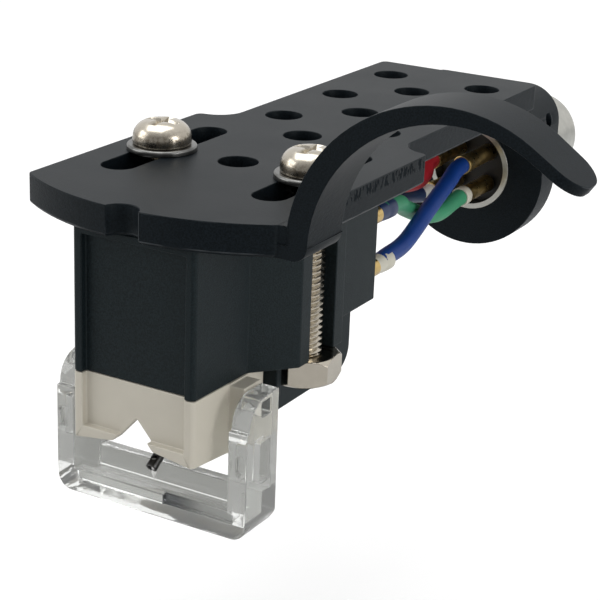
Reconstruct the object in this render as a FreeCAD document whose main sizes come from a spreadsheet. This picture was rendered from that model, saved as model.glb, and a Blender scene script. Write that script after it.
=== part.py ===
"""Phono cartridge on its headshell, with a bayonet connector for the tonearm.

The frame is +Z up and -Y to the front. The origin is on the connector's axis, in the middle
of the bearing length that the tonearm's socket grips. The plate lies level above the axis.
"""
import FreeCAD, Part
import math
import os
import Sketcher
from FreeCAD import Placement, Rotation, Vector

# Driving dimensions in millimetres: alias, value, what it is
SIZES = [
    # Places of the main planes
    ("bearing_to_seat", 10.0, "origin to the collar's rear seat"),
    ("seat_to_screws", 44.2, "collar seat to the line of the mounting screws"),
    ("plate_top", 9.6, "plate's top above the connector's axis"),
    # Headshell plate
    ("plate_thick", 2.3, "plate thickness"),
    ("plate_half", 10.25, "half width of the wide front part"),
    ("nose_reach", 14.0, "screw line to the foremost point of the curved nose"),
    ("nose_radius", 18.2, "radius of the nose in plan"),
    ("notch_radius", 1.35, "radius of the sighting notch in the nose"),
    ("shoulder_back", 10.9, "screw line to the shoulder where the plate narrows"),
    ("shoulder_fillet", 2.3, "inner radius behind each shoulder"),
    ("tail_half", 7.65, "half width of the narrow rear part"),
    ("tail_back", 37.7, "screw line to the plate's rear edge"),
    ("corner_radius", 0.6, "rounding of the plate's upright corners"),
    ("edge_break", 0.25, "small chamfer on the plate's lower nose edge"),
    ("screw_spacing", 12.7, "distance between the two mounting screws"),
    ("slot_width", 2.65, "width of the screw slots"),
    ("slot_ahead", 5.4, "screw line to the front centre of a slot"),
    ("slot_behind", 6.5, "screw line to the rear centre of a slot"),
    ("hole_radius", 1.5, "radius of the weight saving holes"),
    ("hole_pitch", 9.28, "pitch of the holes along a row"),
    ("hole_first", 0.5, "screw line to the first hole of the middle row"),
    ("hole_side", 4.43, "middle row to a side row"),
    # Finger lift, one piece with the plate
    ("lift_front", 10.8, "screw line to the lift's front face"),
    ("lift_width", 4.7, "width of the lift's strip"),
    ("lift_step", 0.45, "plate's edge to the foot of the lift's outer arc"),
    ("lift_drop", 1.6, "plate top down to the centres of the arcs"),
    ("lift_outer_radius", 11.2, "outer arc of the lift"),
    ("lift_thick", 1.1, "thickness of the lift at its top"),
    ("lift_root_extra", 0.55, "how much thicker the lift is at its root"),
    ("lift_slope", 30.0, "degrees that the end of the lift falls"),
    ("lift_tail", 3.7, "length of the straight end of the lift, measured level"),
    ("lift_end_slant", 0.5, "lift's end from its lower to its upper edge, measured level"),
    ("lift_tip_radius", 2.0, "rounding of the lift's end in plan"),
    # Collar and connector
    ("collar_thick", 3.0, "length of the collar"),
    ("collar_half", 7.4, "half width and lower radius of the collar"),
    ("collar_top", 8.1, "flat top of the collar above the axis"),
    ("collar_corner", 3.2, "radius of the collar's upper corners"),
    ("hood_reach", 5.4, "collar front to the hood's front under the plate"),
    ("hood_thick", 3.0, "thickness of the hood that joins collar and plate"),
    ("tube_radius", 4.0, "outer radius of the bayonet tube"),
    ("tube_bore", 3.45, "inner radius of the bayonet tube"),
    ("bearing_length", 7.0, "plain length at the tube's rear end"),
    ("groove_width", 1.6, "turned groove that holds the locating pin"),
    ("groove_depth", 0.2, "depth of that groove"),
    ("rim_chamfer", 0.2, "chamfer round the tube's rear end"),
    ("pin_chamfer", 0.25, "chamfer on the ends of the locating, contact and terminal pins"),
    ("locating_radius", 0.7, "radius of the locating pin"),
    ("locating_top", 5.2, "top of the locating pin above the axis"),
    ("insulator_back", 0.6, "tube's rear end to the insulator's rear face"),
    ("insulator_front", 1.3, "collar front to the insulator's front face"),
    ("contact_offset", 1.5, "contact pins from the axis, up and sideways"),
    ("contact_radius", 0.6, "radius of the contact and terminal pins"),
    ("contact_stand", 0.35, "rear end of a contact pin past the insulator"),
    ("contact_reach", 0.6, "contact pin past the collar's front"),
    ("gasket_radius", 6.4, "outer radius of the gasket washer"),
    ("gasket_thick", 0.8, "thickness of the gasket washer"),
    ("clamp_radius", 0.6, "radius of the clamp screw in the collar"),
    ("clamp_angle", 37.0, "clamp screw above the horizontal, in degrees"),
    ("clamp_ahead", 2.3, "collar seat to the clamp screw's axis"),
    ("clamp_length", 3.2, "length of the clamp screw"),
    # Fasteners
    ("screw_radius", 1.25, "thread radius of the mounting screws"),
    ("screw_length", 16.0, "length of a screw under its head"),
    ("head_radius", 2.2, "radius of a screw's pan head"),
    ("head_height", 1.75, "height of the pan head"),
    ("recess_width", 0.62, "width of the cross recess"),
    ("recess_reach", 1.3, "half length of the cross recess"),
    ("recess_depth", 1.0, "depth of the cross recess"),
    ("washer_radius", 2.63, "outer radius of a washer"),
    ("washer_thick", 0.45, "thickness of a washer"),
    ("nut_flats", 5.0, "nut across its flats"),
    ("nut_height", 2.0, "height of a nut"),
    ("nut_turn", 37.6, "turn of a tightened nut, in degrees"),
    ("nut_chamfer", 1.2, "how much a nut's chamfer widens over its height"),
    # Cartridge body
    ("body_reach", 12.7, "screw line to the body's front face"),
    ("body_height", 10.85, "plate underside to the body's bottom"),
    ("face_half", 5.1, "half width at the front face"),
    ("waist_half", 5.32, "half width where the ears begin"),
    ("waist_reach", 6.2, "screw line to where the ears begin"),
    ("ear_half", 7.85, "half width over the ears"),
    ("ear_ahead", 3.15, "screw line to the ear's front corner"),
    ("ear_behind", 3.1, "screw line to the ear's rear"),
    ("block_back", 12.9, "screw line to the body's rear face"),
    ("ear_slot_half", 1.75, "half width of the slot in an ear"),
    ("face_inset", 0.55, "depth of the panel sunk into the front"),
    ("face_rim", 0.8, "rim at each side of the sunk panel"),
    ("face_rim_top", 0.6, "rim above the sunk panel"),
    ("keel_half", 3.3, "half width of the keel under the body"),
    ("keel_drop", 6.2, "height of the keel under the body"),
    ("keel_ahead", 3.8, "screw line to the keel's front face"),
    ("keel_radius", 2.0, "rounding of the keel's lower rear edge"),
    ("tab_reach", 6.4, "middle plane to the end of a nut stop"),
    ("tab_thick", 0.65, "thickness of a nut stop"),
    ("tab_drop", 2.4, "height of a nut stop"),
    ("cavity_half", 4.0, "half width of the cavity in the body"),
    ("cavity_ahead", 2.6, "screw line to the cavity's front wall"),
    ("cavity_roof", 1.1, "plate underside to the cavity's roof"),
    ("cavity_floor", 0.5, "thickness under the cavity"),
    # Generator inside the body
    ("block_thick", 1.5, "thickness of the terminal block"),
    ("terminal_side", 3.2, "terminal pins from the middle plane"),
    ("terminal_rise", 1.25, "body bottom to the lower terminal pins"),
    ("terminal_step", 4.5, "lower to upper terminal pins"),
    ("terminal_out", 4.0, "terminal pin past the body's rear face"),
    ("terminal_in", 1.0, "terminal pin past the block inside"),
    ("pole_thick", 0.4, "thickness of a pole piece"),
    ("pole_length", 3.0, "length of a pole piece along the body"),
    ("pole_side", 1.75, "middle plane to the inside of a pole piece"),
    ("pole_ahead", 0.5, "screw line to the front of a pole piece"),
    ("pole_down", 15.3, "plate underside to the foot of a pole piece"),
    ("pole_up", 2.8, "plate underside to the top of a pole piece"),
    ("coil_wrap", 1.0, "thickness of a coil round its pole piece"),
    ("coil_height", 6.0, "height of a coil"),
    ("coil_drop", 3.3, "plate underside to the top of a coil"),
    ("shield_gauge", 0.25, "sheet thickness of the magnetic shield"),
    ("shield_back", 9.8, "screw line to the shield's rear edge"),
    # Stylus assembly
    ("grip_top_gap", 0.05, "running gap under the body and round sliding parts"),
    ("grip_back_gap", 0.1, "gap between grip and keel"),
    ("grip_drop", 5.05, "body bottom to the grip's outer lower corners"),
    ("grip_centre_lift", 0.45, "rise of the lower edge towards the middle"),
    ("grip_belly", 0.35, "extra depth of the grip behind its front"),
    ("grip_belly_back", 8.1, "screw line to the end of the deeper part"),
    ("grip_heel", 7.0, "screw line to the grip's heel"),
    ("grip_ledge", 0.55, "ledge under the sunk panel of the grip"),
    ("notch_half", 1.7, "half width of the sighting notch in the grip"),
    ("notch_height", 1.9, "height of that notch"),
    ("grip_front_wall", 1.2, "front wall of the grip"),
    ("grip_side_wall", 1.0, "side wall of the grip"),
    ("grip_roof", 1.0, "roof of the grip"),
    ("grip_back_wall", 1.1, "rear wall of the grip, which holds the stylus tube"),
    ("rail_reach", 6.5, "middle plane to the face of a guard rail"),
    ("rail_ahead", 8.4, "screw line to a rail's front"),
    ("rail_behind", 6.2, "screw line to a rail's rear"),
    ("rail_height", 4.2, "height of a rail"),
    ("stem_drop", 14.1, "plate underside to the axis of the stylus tube"),
    ("stem_radius", 1.35, "outer radius of the stylus tube"),
    ("stem_bore", 1.05, "inner radius of the stylus tube"),
    ("stem_ahead", 4.9, "screw line to the tube's front end"),
    ("stem_behind", 4.0, "screw line to the tube's rear end"),
    ("stem_gap", 0.06, "running gap round the tube in the keel"),
    ("pivot_ahead", 4.0, "screw line to the cantilever's pivot"),
    ("damper_thick", 0.7, "thickness of the rubber damper"),
    ("damper_bore", 0.62, "bore of the rubber damper"),
    ("magnet_radius", 0.5, "radius of the magnet"),
    ("magnet_length", 3.2, "length of the magnet"),
    ("magnet_gap", 0.05, "bead to the front of the magnet"),
    ("arm_radius", 0.43, "outer radius of the cantilever tube"),
    ("arm_setback", 2.4, "body's front face to the cantilever's tip end"),
    ("bead_radius", 0.6, "bead of the cantilever in the bore of the damper"),
    ("knee_ahead", 0.45, "pivot to the bend of the cantilever"),
    ("arm_fall", 3.95, "fall of the cantilever's axis from its bend to its end"),
    ("tip_radius", 0.19, "radius of the stylus tip's shank"),
    ("tip_length", 1.25, "cantilever axis to the point of the tip"),
    ("tip_setback", 0.45, "tip's axis behind the cantilever's end"),
    # Stylus guard
    ("guard_half", 8.15, "half width over the guard"),
    ("guard_setback", 2.1, "body's front face to the guard's front"),
    ("guard_length", 4.2, "length of the guard from front to rear"),
    ("guard_drop", 21.6, "plate underside to the guard's underside"),
    ("guard_top_gap", 0.27, "body bottom to the tops of the guard's arms"),
    ("guard_arm", 1.5, "thickness of an arm"),
    ("guard_floor", 0.9, "thickness of the guard's floor"),
    ("guard_bar", 1.0, "thickness of the front and rear walls"),
    ("guard_bar_height", 1.0, "height of the front wall"),
    ("guard_back_height", 1.7, "height of the rear wall"),
    ("guard_arm_setback", 0.3, "guard's front to the front of an arm's upper part"),
    ("guard_step_drop", 2.2, "top of an arm down to its step"),
    ("guard_corner", 1.2, "rounding of the guard's lower edges"),
    ("guard_crown", 2.1, "rounding of an arm's front at its top"),
    ("guard_heel", 0.9, "bevel along the guard's lower rear edge"),
    ("window_setback", 1.9, "guard's front to the front of the windows in an arm"),
    ("window_length", 1.2, "length of a window"),
    ("window_top", 0.4, "top of an arm down to its upper window"),
    ("window_high", 1.1, "height of the upper window"),
    ("window_low", 3.05, "height of the lower window"),
    ("window_bridge", 2.0, "bridge between the two windows"),
    ("dimple_side", 7.55, "middle plane to the dimple in the front of an arm"),
    ("dimple_half", 0.32, "half width of that dimple"),
    ("dimple_height", 1.5, "height of that dimple"),
    ("dimple_drop", 4.7, "top of an arm to the middle of its dimple"),
    ("rebate_start", 1.25, "middle plane to the rebate in the front wall"),
    ("rebate_end", 7.1, "middle plane to the end of that rebate"),
    ("rebate_height", 0.7, "height of the rebate under the top of the front wall"),
    ("rebate_depth", 0.4, "depth of the rebate"),
    # Leads
    ("lead_radius", 0.75, "radius of an insulated lead"),
    ("lead_straight", 0.8, "straight start of a lead at each clip"),
    ("clip_radius", 0.85, "outer radius of a clip"),
    ("clip_bore", 0.62, "bore of a clip"),
    ("clip_length", 4.6, "length of a clip's socket"),
    ("clip_tail_radius", 0.72, "radius of a clip's crimped tail"),
    ("clip_tail", 1.4, "length of a clip's crimped tail"),
    ("clip_slit", 0.35, "slit along a clip"),
    ("fit_gap", 0.03, "gap between pieces that are pressed or glued together"),
]

doc = FreeCAD.newDocument("phono_cartridge")
sheet = doc.addObject("Spreadsheet::Sheet", "sizes")


class Size:
    """A length from the sheet: its value now, and the expression that keeps it bound."""

    def __init__(self, text, value):
        self.text = text
        self.value = value

    def join(self, sign, other, value):
        return Size("(%s %s %s)" % (self.text, sign, as_size(other).text), value)

    def __add__(self, other):
        return self.join("+", other, self.value + as_size(other).value)

    def __radd__(self, other):
        return as_size(other) + self

    def __sub__(self, other):
        return self.join("-", other, self.value - as_size(other).value)

    def __rsub__(self, other):
        return as_size(other) - self

    def __mul__(self, other):
        return self.join("*", other, self.value * as_size(other).value)

    def __rmul__(self, other):
        return as_size(other) * self

    def __truediv__(self, other):
        return self.join("/", other, self.value / as_size(other).value)

    def __neg__(self):
        return 0 - self

    def __float__(self):
        return float(self.value)


def as_size(number):
    """Lets plain numbers stand beside sizes in a sum."""
    if isinstance(number, Size):
        return number
    return Size(repr(float(number)), float(number))


def sine(angle):
    return Size("sin(%s * 1deg)" % angle.text, math.sin(math.radians(angle.value)))


def cosine(angle):
    return Size("cos(%s * 1deg)" % angle.text, math.cos(math.radians(angle.value)))


def tangent(angle):
    return Size("tan(%s * 1deg)" % angle.text, math.tan(math.radians(angle.value)))


def root(square):
    return Size("sqrt(%s)" % square.text, math.sqrt(square.value))


class Sheet:
    """Gives each alias of the spreadsheet as a Size, such as S.plate_top."""

    def __init__(self, rows):
        for row, (alias, value, note) in enumerate(rows, 1):
            sheet.set("A%d" % row, alias)
            sheet.set("B%d" % row, str(value))
            sheet.setAlias("B%d" % row, alias)
            sheet.set("C%d" % row, note)
            setattr(self, alias, Size("sizes." + alias, value))
        doc.recompute()


S = Sheet(SIZES)

# Planes that several pieces share
SEAT = -S.bearing_to_seat
SCREWS = SEAT - S.seat_to_screws
COLLAR_FRONT = SEAT - S.collar_thick
UNDER_PLATE = S.plate_top - S.plate_thick
BODY_BOTTOM = UNDER_PLATE - S.body_height
SCREW_X = S.screw_spacing / 2
BEARING_END = S.bearing_length / 2
TUBE_END = BEARING_END + S.rim_chamfer
STEM_Z = UNDER_PLATE - S.stem_drop
GRIP_TOP = BODY_BOTTOM - S.grip_top_gap
SIDES = (("left", -1), ("right", 1))
LEAD_COLOURS = ("blue", "green", "red", "white")

pieces = []


def ahead(distance):
    """A place in front of the screw line."""
    return SCREWS - distance


def behind(distance):
    """A place behind the screw line."""
    return SCREWS + distance


def keep(feature, label):
    """Notes a finished sub-part under the name that its file gets."""
    feature.Label = label
    pieces.append(feature)
    return feature


def bind(feature, **places):
    """Binds properties to sheet expressions: width=..., x=..., y=..., z=..."""
    for name, size in places.items():
        path = "Placement.Base." + name if name in "xyz" else name
        feature.setExpression(path, as_size(size).text)
    return feature


# Part primitives, each between bound faces
def box(x0, x1, y0, y1, z0, z1):
    """Box between three pairs of planes."""
    solid = doc.addObject("Part::Box", "box")
    return bind(solid, Length=x1 - as_size(x0), Width=y1 - as_size(y0),
                Height=z1 - as_size(z0), x=x0, y=y0, z=z0)


def turned(axis, radius, start, end, u=0, v=0):
    """Cylinder along Y or Z from start to end, with its axis at u and v on the other two axes."""
    solid = doc.addObject("Part::Cylinder", "round")
    length = as_size(end) - start
    if axis == "y":
        solid.Placement = Placement(Vector(), Rotation(Vector(1, 0, 0), -90))
        return bind(solid, Radius=radius, Height=length, x=u, y=start, z=v)
    return bind(solid, Radius=radius, Height=length, x=u, y=v, z=start)


def fuse(*solids):
    union = doc.addObject("Part::MultiFuse", "union")
    union.Shapes = list(solids)
    union.Refine = True
    return union


def cut(base, *tools):
    tool = tools[0] if len(tools) == 1 else fuse(*tools)
    difference = doc.addObject("Part::Cut", "difference")
    difference.Base = base
    difference.Tool = tool
    difference.Refine = True
    return difference


def common(one, other):
    both = doc.addObject("Part::Common", "overlap")
    both.Base = one
    both.Tool = other
    return both


def edges_where(feature, wanted):
    """Numbers of the edges whose shape passes a test."""
    doc.recompute()
    return [number for number, edge in enumerate(feature.Shape.Edges, 1) if wanted(edge)]


def dressed(kind, feature, size, wanted):
    """Part fillet or chamfer on the chosen edges."""
    numbers = edges_where(feature, wanted)
    if not numbers:
        raise ValueError("no edge to dress on " + feature.Name)
    result = doc.addObject(kind, "dressed")
    result.Base = feature
    result.Edges = [(number, size.value, size.value) for number in numbers]
    return result


def along(edge, axis):
    """True for a straight edge along one axis."""
    box_of = edge.BoundBox
    spans = {"x": box_of.XLength, "y": box_of.YLength, "z": box_of.ZLength}
    others = [span for name, span in spans.items() if name != axis]
    return spans[axis] > 1e-4 and max(others) < 1e-4


def near(value, size, slack=1e-3):
    return abs(value - float(size)) < slack


# PartDesign bodies with bound sketches
def new_body(label):
    body = doc.addObject("PartDesign::Body", label)
    return keep(body, label)


def attach(body, role, offset):
    """Empty sketch on one of the body's own origin planes, moved along its normal."""
    sketch = body.newObject("Sketcher::SketchObject", "sketch")
    plane = [item for item in body.Origin.OriginFeatures if item.Role == role][0]
    sketch.AttachmentSupport = [(plane, "")]
    sketch.MapMode = "FlatFace"
    sketch.setExpression("AttachmentOffset.Base.z", as_size(offset).text)
    return sketch


def pin_point(sketch, geometry, end, corner):
    """Fixes one end of a piece of geometry at a bound place."""
    for kind, size in (("DistanceX", corner[0]), ("DistanceY", corner[1])):
        size = as_size(size)
        if abs(size.value) < 1e-9:
            axis = -2 if kind == "DistanceX" else -1
            sketch.addConstraint(Sketcher.Constraint("PointOnObject", geometry, end, axis))
            continue
        rule = Sketcher.Constraint(kind, -1, 1, geometry, end, size.value)
        number = sketch.addConstraint(rule)
        sketch.setExpression("Constraints[%d]" % number, size.text)


def arc_between(start, end, radius, leftwards):
    """Arc of a given radius from start to end; its centre is on the chosen side."""
    chord = end - start
    half = chord.Length / 2
    rise = math.sqrt(max(radius ** 2 - half ** 2, 0))
    normal = Vector(-chord.y, chord.x, 0).normalize()
    centre = start + chord * 0.5 + normal * (rise if leftwards else -rise)
    circle = Part.Circle(centre, Vector(0, 0, 1), radius)
    first, last = (start, end) if leftwards else (end, start)
    return Part.ArcOfCircle(circle, circle.parameter(first), circle.parameter(last))


def outline(body, role, offset, corners, arcs=None):
    """Closed outline. arcs maps a side's number to its radius and whether it turns left."""
    arcs = arcs or {}
    sketch = attach(body, role, offset)
    points = [Vector(float(x), float(y), 0) for x, y in corners]
    starts = []
    count = len(points)
    for side in range(count):
        begin = points[side]
        finish = points[(side + 1) % count]
        if side in arcs:
            radius, leftwards = arcs[side]
            sketch.addGeometry(arc_between(begin, finish, float(radius), leftwards), False)
            starts.append((1, 2) if leftwards else (2, 1))
        else:
            sketch.addGeometry(Part.LineSegment(begin, finish), False)
            starts.append((1, 2))
    for side in range(count):
        following = (side + 1) % count
        ends = Sketcher.Constraint("Coincident", side, starts[side][1],
                                   following, starts[following][0])
        sketch.addConstraint(ends)
        pin_point(sketch, side, starts[side][0], corners[side])
    for side, (radius, _) in arcs.items():
        begin, finish = corners[side], corners[(side + 1) % count]
        if near(2 * float(radius), (points[(side + 1) % count] - points[side]).Length):
            pin_middle(sketch, side, begin, finish)
            continue
        number = sketch.addConstraint(Sketcher.Constraint("Radius", side, float(radius)))
        sketch.setExpression("Constraints[%d]" % number, as_size(radius).text)
    return sketch


def pin_middle(sketch, side, begin, finish):
    """A half circle is fixed by its centre, which lies level with both ends."""
    level = near(float(begin[1]), finish[1])
    kind, size = ("DistanceY", begin[1]) if level else ("DistanceX", begin[0])
    size = as_size(size)
    if abs(size.value) < 1e-9:
        axis = -1 if level else -2
        sketch.addConstraint(Sketcher.Constraint("PointOnObject", side, 3, axis))
        return
    number = sketch.addConstraint(Sketcher.Constraint(kind, -1, 1, side, 3, size.value))
    sketch.setExpression("Constraints[%d]" % number, size.text)


def discs(body, role, offset, centres, radius):
    """Sketch of equal circles."""
    sketch = attach(body, role, offset)
    for number, centre in enumerate(centres):
        place = Vector(float(centre[0]), float(centre[1]), 0)
        sketch.addGeometry(Part.Circle(place, Vector(0, 0, 1), float(radius)), False)
        pin_point(sketch, number, 3, centre)
        rule = sketch.addConstraint(Sketcher.Constraint("Radius", number, float(radius)))
        sketch.setExpression("Constraints[%d]" % rule, as_size(radius).text)
    return sketch


def feature_on(body, kind, sketch, length):
    """Pad or pocket along the sketch's normal; a pocket must take material away."""
    before = body.Shape.Volume if body.Tip else 0
    feature = body.newObject(kind, "feature")
    feature.Profile = sketch
    feature.Reversed = kind == "PartDesign::Pocket"
    feature.setExpression("Length", as_size(length).text)
    doc.recompute()
    if kind == "PartDesign::Pocket" and feature.Shape.Volume > before - 1e-6:
        raise ValueError("a pocket cut nothing in " + body.Label)
    return feature


def pad(body, sketch, length):
    return feature_on(body, "PartDesign::Pad", sketch, length)


def pocket(body, sketch, length):
    return feature_on(body, "PartDesign::Pocket", sketch, length)


def soften(body, kind, size, wanted):
    """PartDesign fillet or chamfer on the chosen edges of the body so far."""
    base = body.Tip
    numbers = edges_where(base, wanted)
    if not numbers:
        raise ValueError("no edge to soften on " + body.Label)
    feature = body.newObject(kind, "softened")
    feature.Base = (base, ["Edge%d" % number for number in numbers])
    name = "Radius" if kind == "PartDesign::Fillet" else "Size"
    feature.setExpression(name, size.text)
    doc.recompute()
    return feature


# Headshell: plate, finger lift, hood and collar are one casting
def headshell():
    body = new_body("headshell_frame")
    plate(body)
    finger_lift(body)
    collar(body)
    plate_openings(body)
    connector_bore(body)


def plate(body):
    """Flat plate with a curved nose, square shoulders and a narrower tail."""
    half = S.plate_half
    tail = S.tail_half
    nose_side = S.nose_reach - S.nose_radius + root(S.nose_radius * S.nose_radius - half * half)
    corners = [(-half, ahead(nose_side)), (half, ahead(nose_side)),
               (half, behind(S.shoulder_back)), (tail, behind(S.shoulder_back)),
               (tail, behind(S.tail_back)), (-tail, behind(S.tail_back)),
               (-tail, behind(S.shoulder_back)), (-half, behind(S.shoulder_back))]
    sketch = outline(body, "XY_Plane", UNDER_PLATE, corners, {0: (S.nose_radius, True)})
    pad(body, sketch, S.plate_thick)
    inner = lambda edge: (along(edge, "z") and near(edge.BoundBox.YMin, behind(S.shoulder_back))
                          and near(abs(edge.BoundBox.XMin), tail))
    soften(body, "PartDesign::Fillet", S.shoulder_fillet, inner)
    outer = lambda edge: (along(edge, "z") and (near(abs(edge.BoundBox.XMin), half)
                          or near(edge.BoundBox.YMin, behind(S.tail_back))))
    soften(body, "PartDesign::Fillet", S.corner_radius, outer)
    notch = discs(body, "XY_Plane", UNDER_PLATE, [(0, ahead(S.nose_reach + 0.2))],
                  S.notch_radius)
    pocket(body, notch, S.plate_thick)
    lower_nose = lambda edge: (near(edge.BoundBox.ZMax, UNDER_PLATE)
                               and near(edge.BoundBox.ZMin, UNDER_PLATE)
                               and edge.BoundBox.YMax < float(ahead(S.lift_front)) + 0.5)
    soften(body, "PartDesign::Chamfer", S.edge_break, lower_nose)


def finger_lift(body):
    """Arched strip that rises from the plate's right edge and falls again at its end."""
    outer = S.lift_outer_radius
    inner = outer - S.lift_thick
    outer_x = S.plate_half + S.lift_step + outer
    inner_x = outer_x + S.lift_root_extra
    height = S.plate_top - S.lift_drop
    across = sine(S.lift_slope)
    upward = cosine(S.lift_slope)
    fall = tangent(S.lift_slope)
    end = outer_x + outer * across + S.lift_tail
    inner_end = end - S.lift_end_slant
    foot = height - UNDER_PLATE
    step = S.plate_thick / 2
    rise = step - foot
    root_x = S.plate_half - S.plate_thick / 2
    corners = [(root_x, UNDER_PLATE), (inner_x - root(inner * inner - foot * foot), UNDER_PLATE),
               (inner_x + inner * across, height + inner * upward),
               (inner_end, height + inner * upward - (inner_end - inner_x - inner * across) * fall),
               (end, height + outer * upward - S.lift_tail * fall),
               (outer_x + outer * across, height + outer * upward),
               (outer_x - root(outer * outer - rise * rise), UNDER_PLATE + step),
               (root_x, UNDER_PLATE + step)]
    back = ahead(S.lift_front - S.lift_width)
    strip = outline(body, "XZ_Plane", -back, corners, {1: (inner, False), 5: (outer, True)})
    pad(body, strip, S.lift_width)
    tip = lambda edge: (edge.BoundBox.XMin > float(end - S.lift_tail / 2)
                        and edge.BoundBox.YLength < 1e-4 and edge.BoundBox.XLength < 1)
    soften(body, "PartDesign::Fillet", S.lift_tip_radius, tip)


def collar(body):
    """Collar round the connector, and the hood that ties it to the plate."""
    half = S.collar_half
    top = S.collar_top
    corner = S.collar_corner
    corners = [(-half, 0), (half, 0), (half, top - corner), (half - corner, top),
               (corner - half, top), (-half, top - corner)]
    arcs = {0: (half, True), 2: (corner, True), 4: (corner, True)}
    ring = outline(body, "XZ_Plane", -SEAT, corners, arcs)
    pad(body, ring, S.collar_thick)
    floor = top - S.hood_thick
    drop = corner - S.hood_thick
    side = half - corner + root(corner * corner - drop * drop)
    hood = [(-side, floor), (side, floor), (half - corner, top), (corner - half, top)]
    if S.hood_thick.value > S.collar_corner.value:
        raise ValueError("the hood is thinner than the collar's corner")
    lid = outline(body, "XZ_Plane", -COLLAR_FRONT, hood,
                  {1: (corner, True), 3: (corner, True)})
    pad(body, lid, S.hood_reach)


def plate_openings(body):
    """Two screw slots, and the staggered rows of round holes."""
    half = S.slot_width / 2
    for side in (-1, 1):
        middle = SCREW_X * side
        corners = [(middle + half, ahead(S.slot_ahead)), (middle + half, behind(S.slot_behind)),
                   (middle - half, behind(S.slot_behind)), (middle - half, ahead(S.slot_ahead))]
        slot = outline(body, "XY_Plane", UNDER_PLATE, corners,
                       {1: (half, True), 3: (half, True)})
        pocket(body, slot, S.plate_thick)
    centres = [(as_size(0), behind(S.hole_first + S.hole_pitch * k)) for k in range(4)]
    for k in range(3):
        row = behind(S.hole_first + S.hole_pitch * (k + 1.5))
        centres += [(S.hole_side, row), (-S.hole_side, row)]
    depth = S.plate_top - (S.collar_top - S.hood_thick)
    floor = S.collar_top - S.hood_thick
    pocket(body, discs(body, "XY_Plane", floor, centres, S.hole_radius), depth)


def connector_bore(body):
    """Bore for the bayonet tube, and the slanting hole of the clamp screw."""
    bore = discs(body, "XZ_Plane", -SEAT, [(0, 0)], S.tube_radius + S.fit_gap)
    pocket(body, bore, S.collar_thick)
    drill = body.newObject("PartDesign::SubtractiveCylinder", "clamp_hole")
    drill.Placement = Placement(Vector(), Rotation(Vector(0, 1, 0), 90 - float(S.clamp_angle)))
    bind(drill, Radius=S.clamp_radius + S.fit_gap, Height=S.collar_half * 2,
         y=SEAT - S.clamp_ahead)
    doc.recompute()


# Connector: tube, insulator, contacts, gasket and the small pins
def connector():
    groove_front = -BEARING_END - S.groove_width
    outside = fuse(turned("y", S.tube_radius, COLLAR_FRONT, groove_front),
                   turned("y", S.tube_radius - S.groove_depth, groove_front, -BEARING_END),
                   turned("y", S.tube_radius, -BEARING_END, TUBE_END))
    pin_y = -BEARING_END - S.groove_width / 2
    hole = turned("z", S.locating_radius + S.fit_gap, 0, S.locating_top, 0, pin_y)
    tube = cut(outside, turned("y", S.tube_bore, COLLAR_FRONT - 1, TUBE_END + 1), hole)
    rim = lambda edge: near(edge.BoundBox.YMin, TUBE_END) and near(edge.BoundBox.YMax, TUBE_END)
    keep(dressed("Part::Chamfer", tube, S.rim_chamfer, rim), "bayonet_tube")
    locating = turned("z", S.locating_radius, S.tube_bore + S.fit_gap, S.locating_top, 0, pin_y)
    top = lambda edge: near(edge.BoundBox.ZMin, S.locating_top)
    keep(dressed("Part::Chamfer", locating, S.pin_chamfer, top), "locating_pin")
    front = COLLAR_FRONT + S.insulator_front
    back = TUBE_END - S.insulator_back
    plug = turned("y", S.tube_bore - S.fit_gap, front, back)
    holes = [turned("y", S.contact_radius + S.fit_gap / 2, front - 1, back + 1, x, z)
             for x, z in contact_places().values()]
    keep(cut(plug, *holes), "insulator_block")
    for colour, (x, z) in contact_places().items():
        pin = turned("y", S.contact_radius, COLLAR_FRONT - S.contact_reach,
                     back + S.contact_stand, x, z)
        nose = lambda edge: edge.BoundBox.YLength < 1e-4
        keep(dressed("Part::Chamfer", pin, S.pin_chamfer, nose), "contact_pin_" + colour)
    gasket = cut(turned("y", S.gasket_radius, SEAT, SEAT + S.gasket_thick),
                 turned("y", S.tube_radius + S.fit_gap, SEAT - 1, SEAT + S.gasket_thick + 1))
    keep(gasket, "gasket_washer")
    clamp_screw()


def contact_places():
    """Each contact's place across the connector, by the colour of its lead."""
    step = S.contact_offset
    return {"blue": (step, step), "green": (step, -step),
            "red": (-step, step), "white": (-step, -step)}


def clamp_screw():
    """Grub screw with a hexagon socket that holds the tube in the collar."""
    turn = Placement(Vector(0, float(SEAT - S.clamp_ahead), 0),
                     Rotation(Vector(0, 1, 0), 90 - float(S.clamp_angle)))
    start = float(S.tube_radius + S.fit_gap * 2)
    rod = Part.makeCylinder(float(S.clamp_radius), float(S.clamp_length), Vector(0, 0, start))
    corner = float(S.clamp_radius) * 0.55
    ring = [Vector(corner * math.cos(math.radians(60 * k)), corner * math.sin(math.radians(60 * k)),
                   start + float(S.clamp_length) * 0.6) for k in range(7)]
    socket = Part.Face(Part.makePolygon(ring)).extrude(Vector(0, 0, float(S.clamp_length)))
    solid = rod.cut(socket)
    screw = doc.addObject("Part::Feature", "clamp_screw")
    screw.Shape = solid
    screw.Placement = turn
    keep(screw, "clamp_screw")


# Fasteners, one set at each side
def fasteners():
    for side, sign in SIDES:
        x = SCREW_X * sign
        keep(washer(x), "washer_" + side)
        keep(screw(x), "mounting_screw_" + side)
        keep(nut(x, sign), "hex_nut_" + side)


def washer(x):
    top = S.plate_top + S.washer_thick
    disc = cut(turned("z", S.washer_radius, S.plate_top, top, x, SCREWS),
               turned("z", S.screw_radius + 0.1, S.plate_top - 1, top + 1, x, SCREWS))
    edge = lambda item: (near(item.BoundBox.ZMin, top)
                         and item.BoundBox.XLength > float(S.washer_radius))
    return dressed("Part::Chamfer", disc, S.washer_thick / 4, edge)


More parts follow.
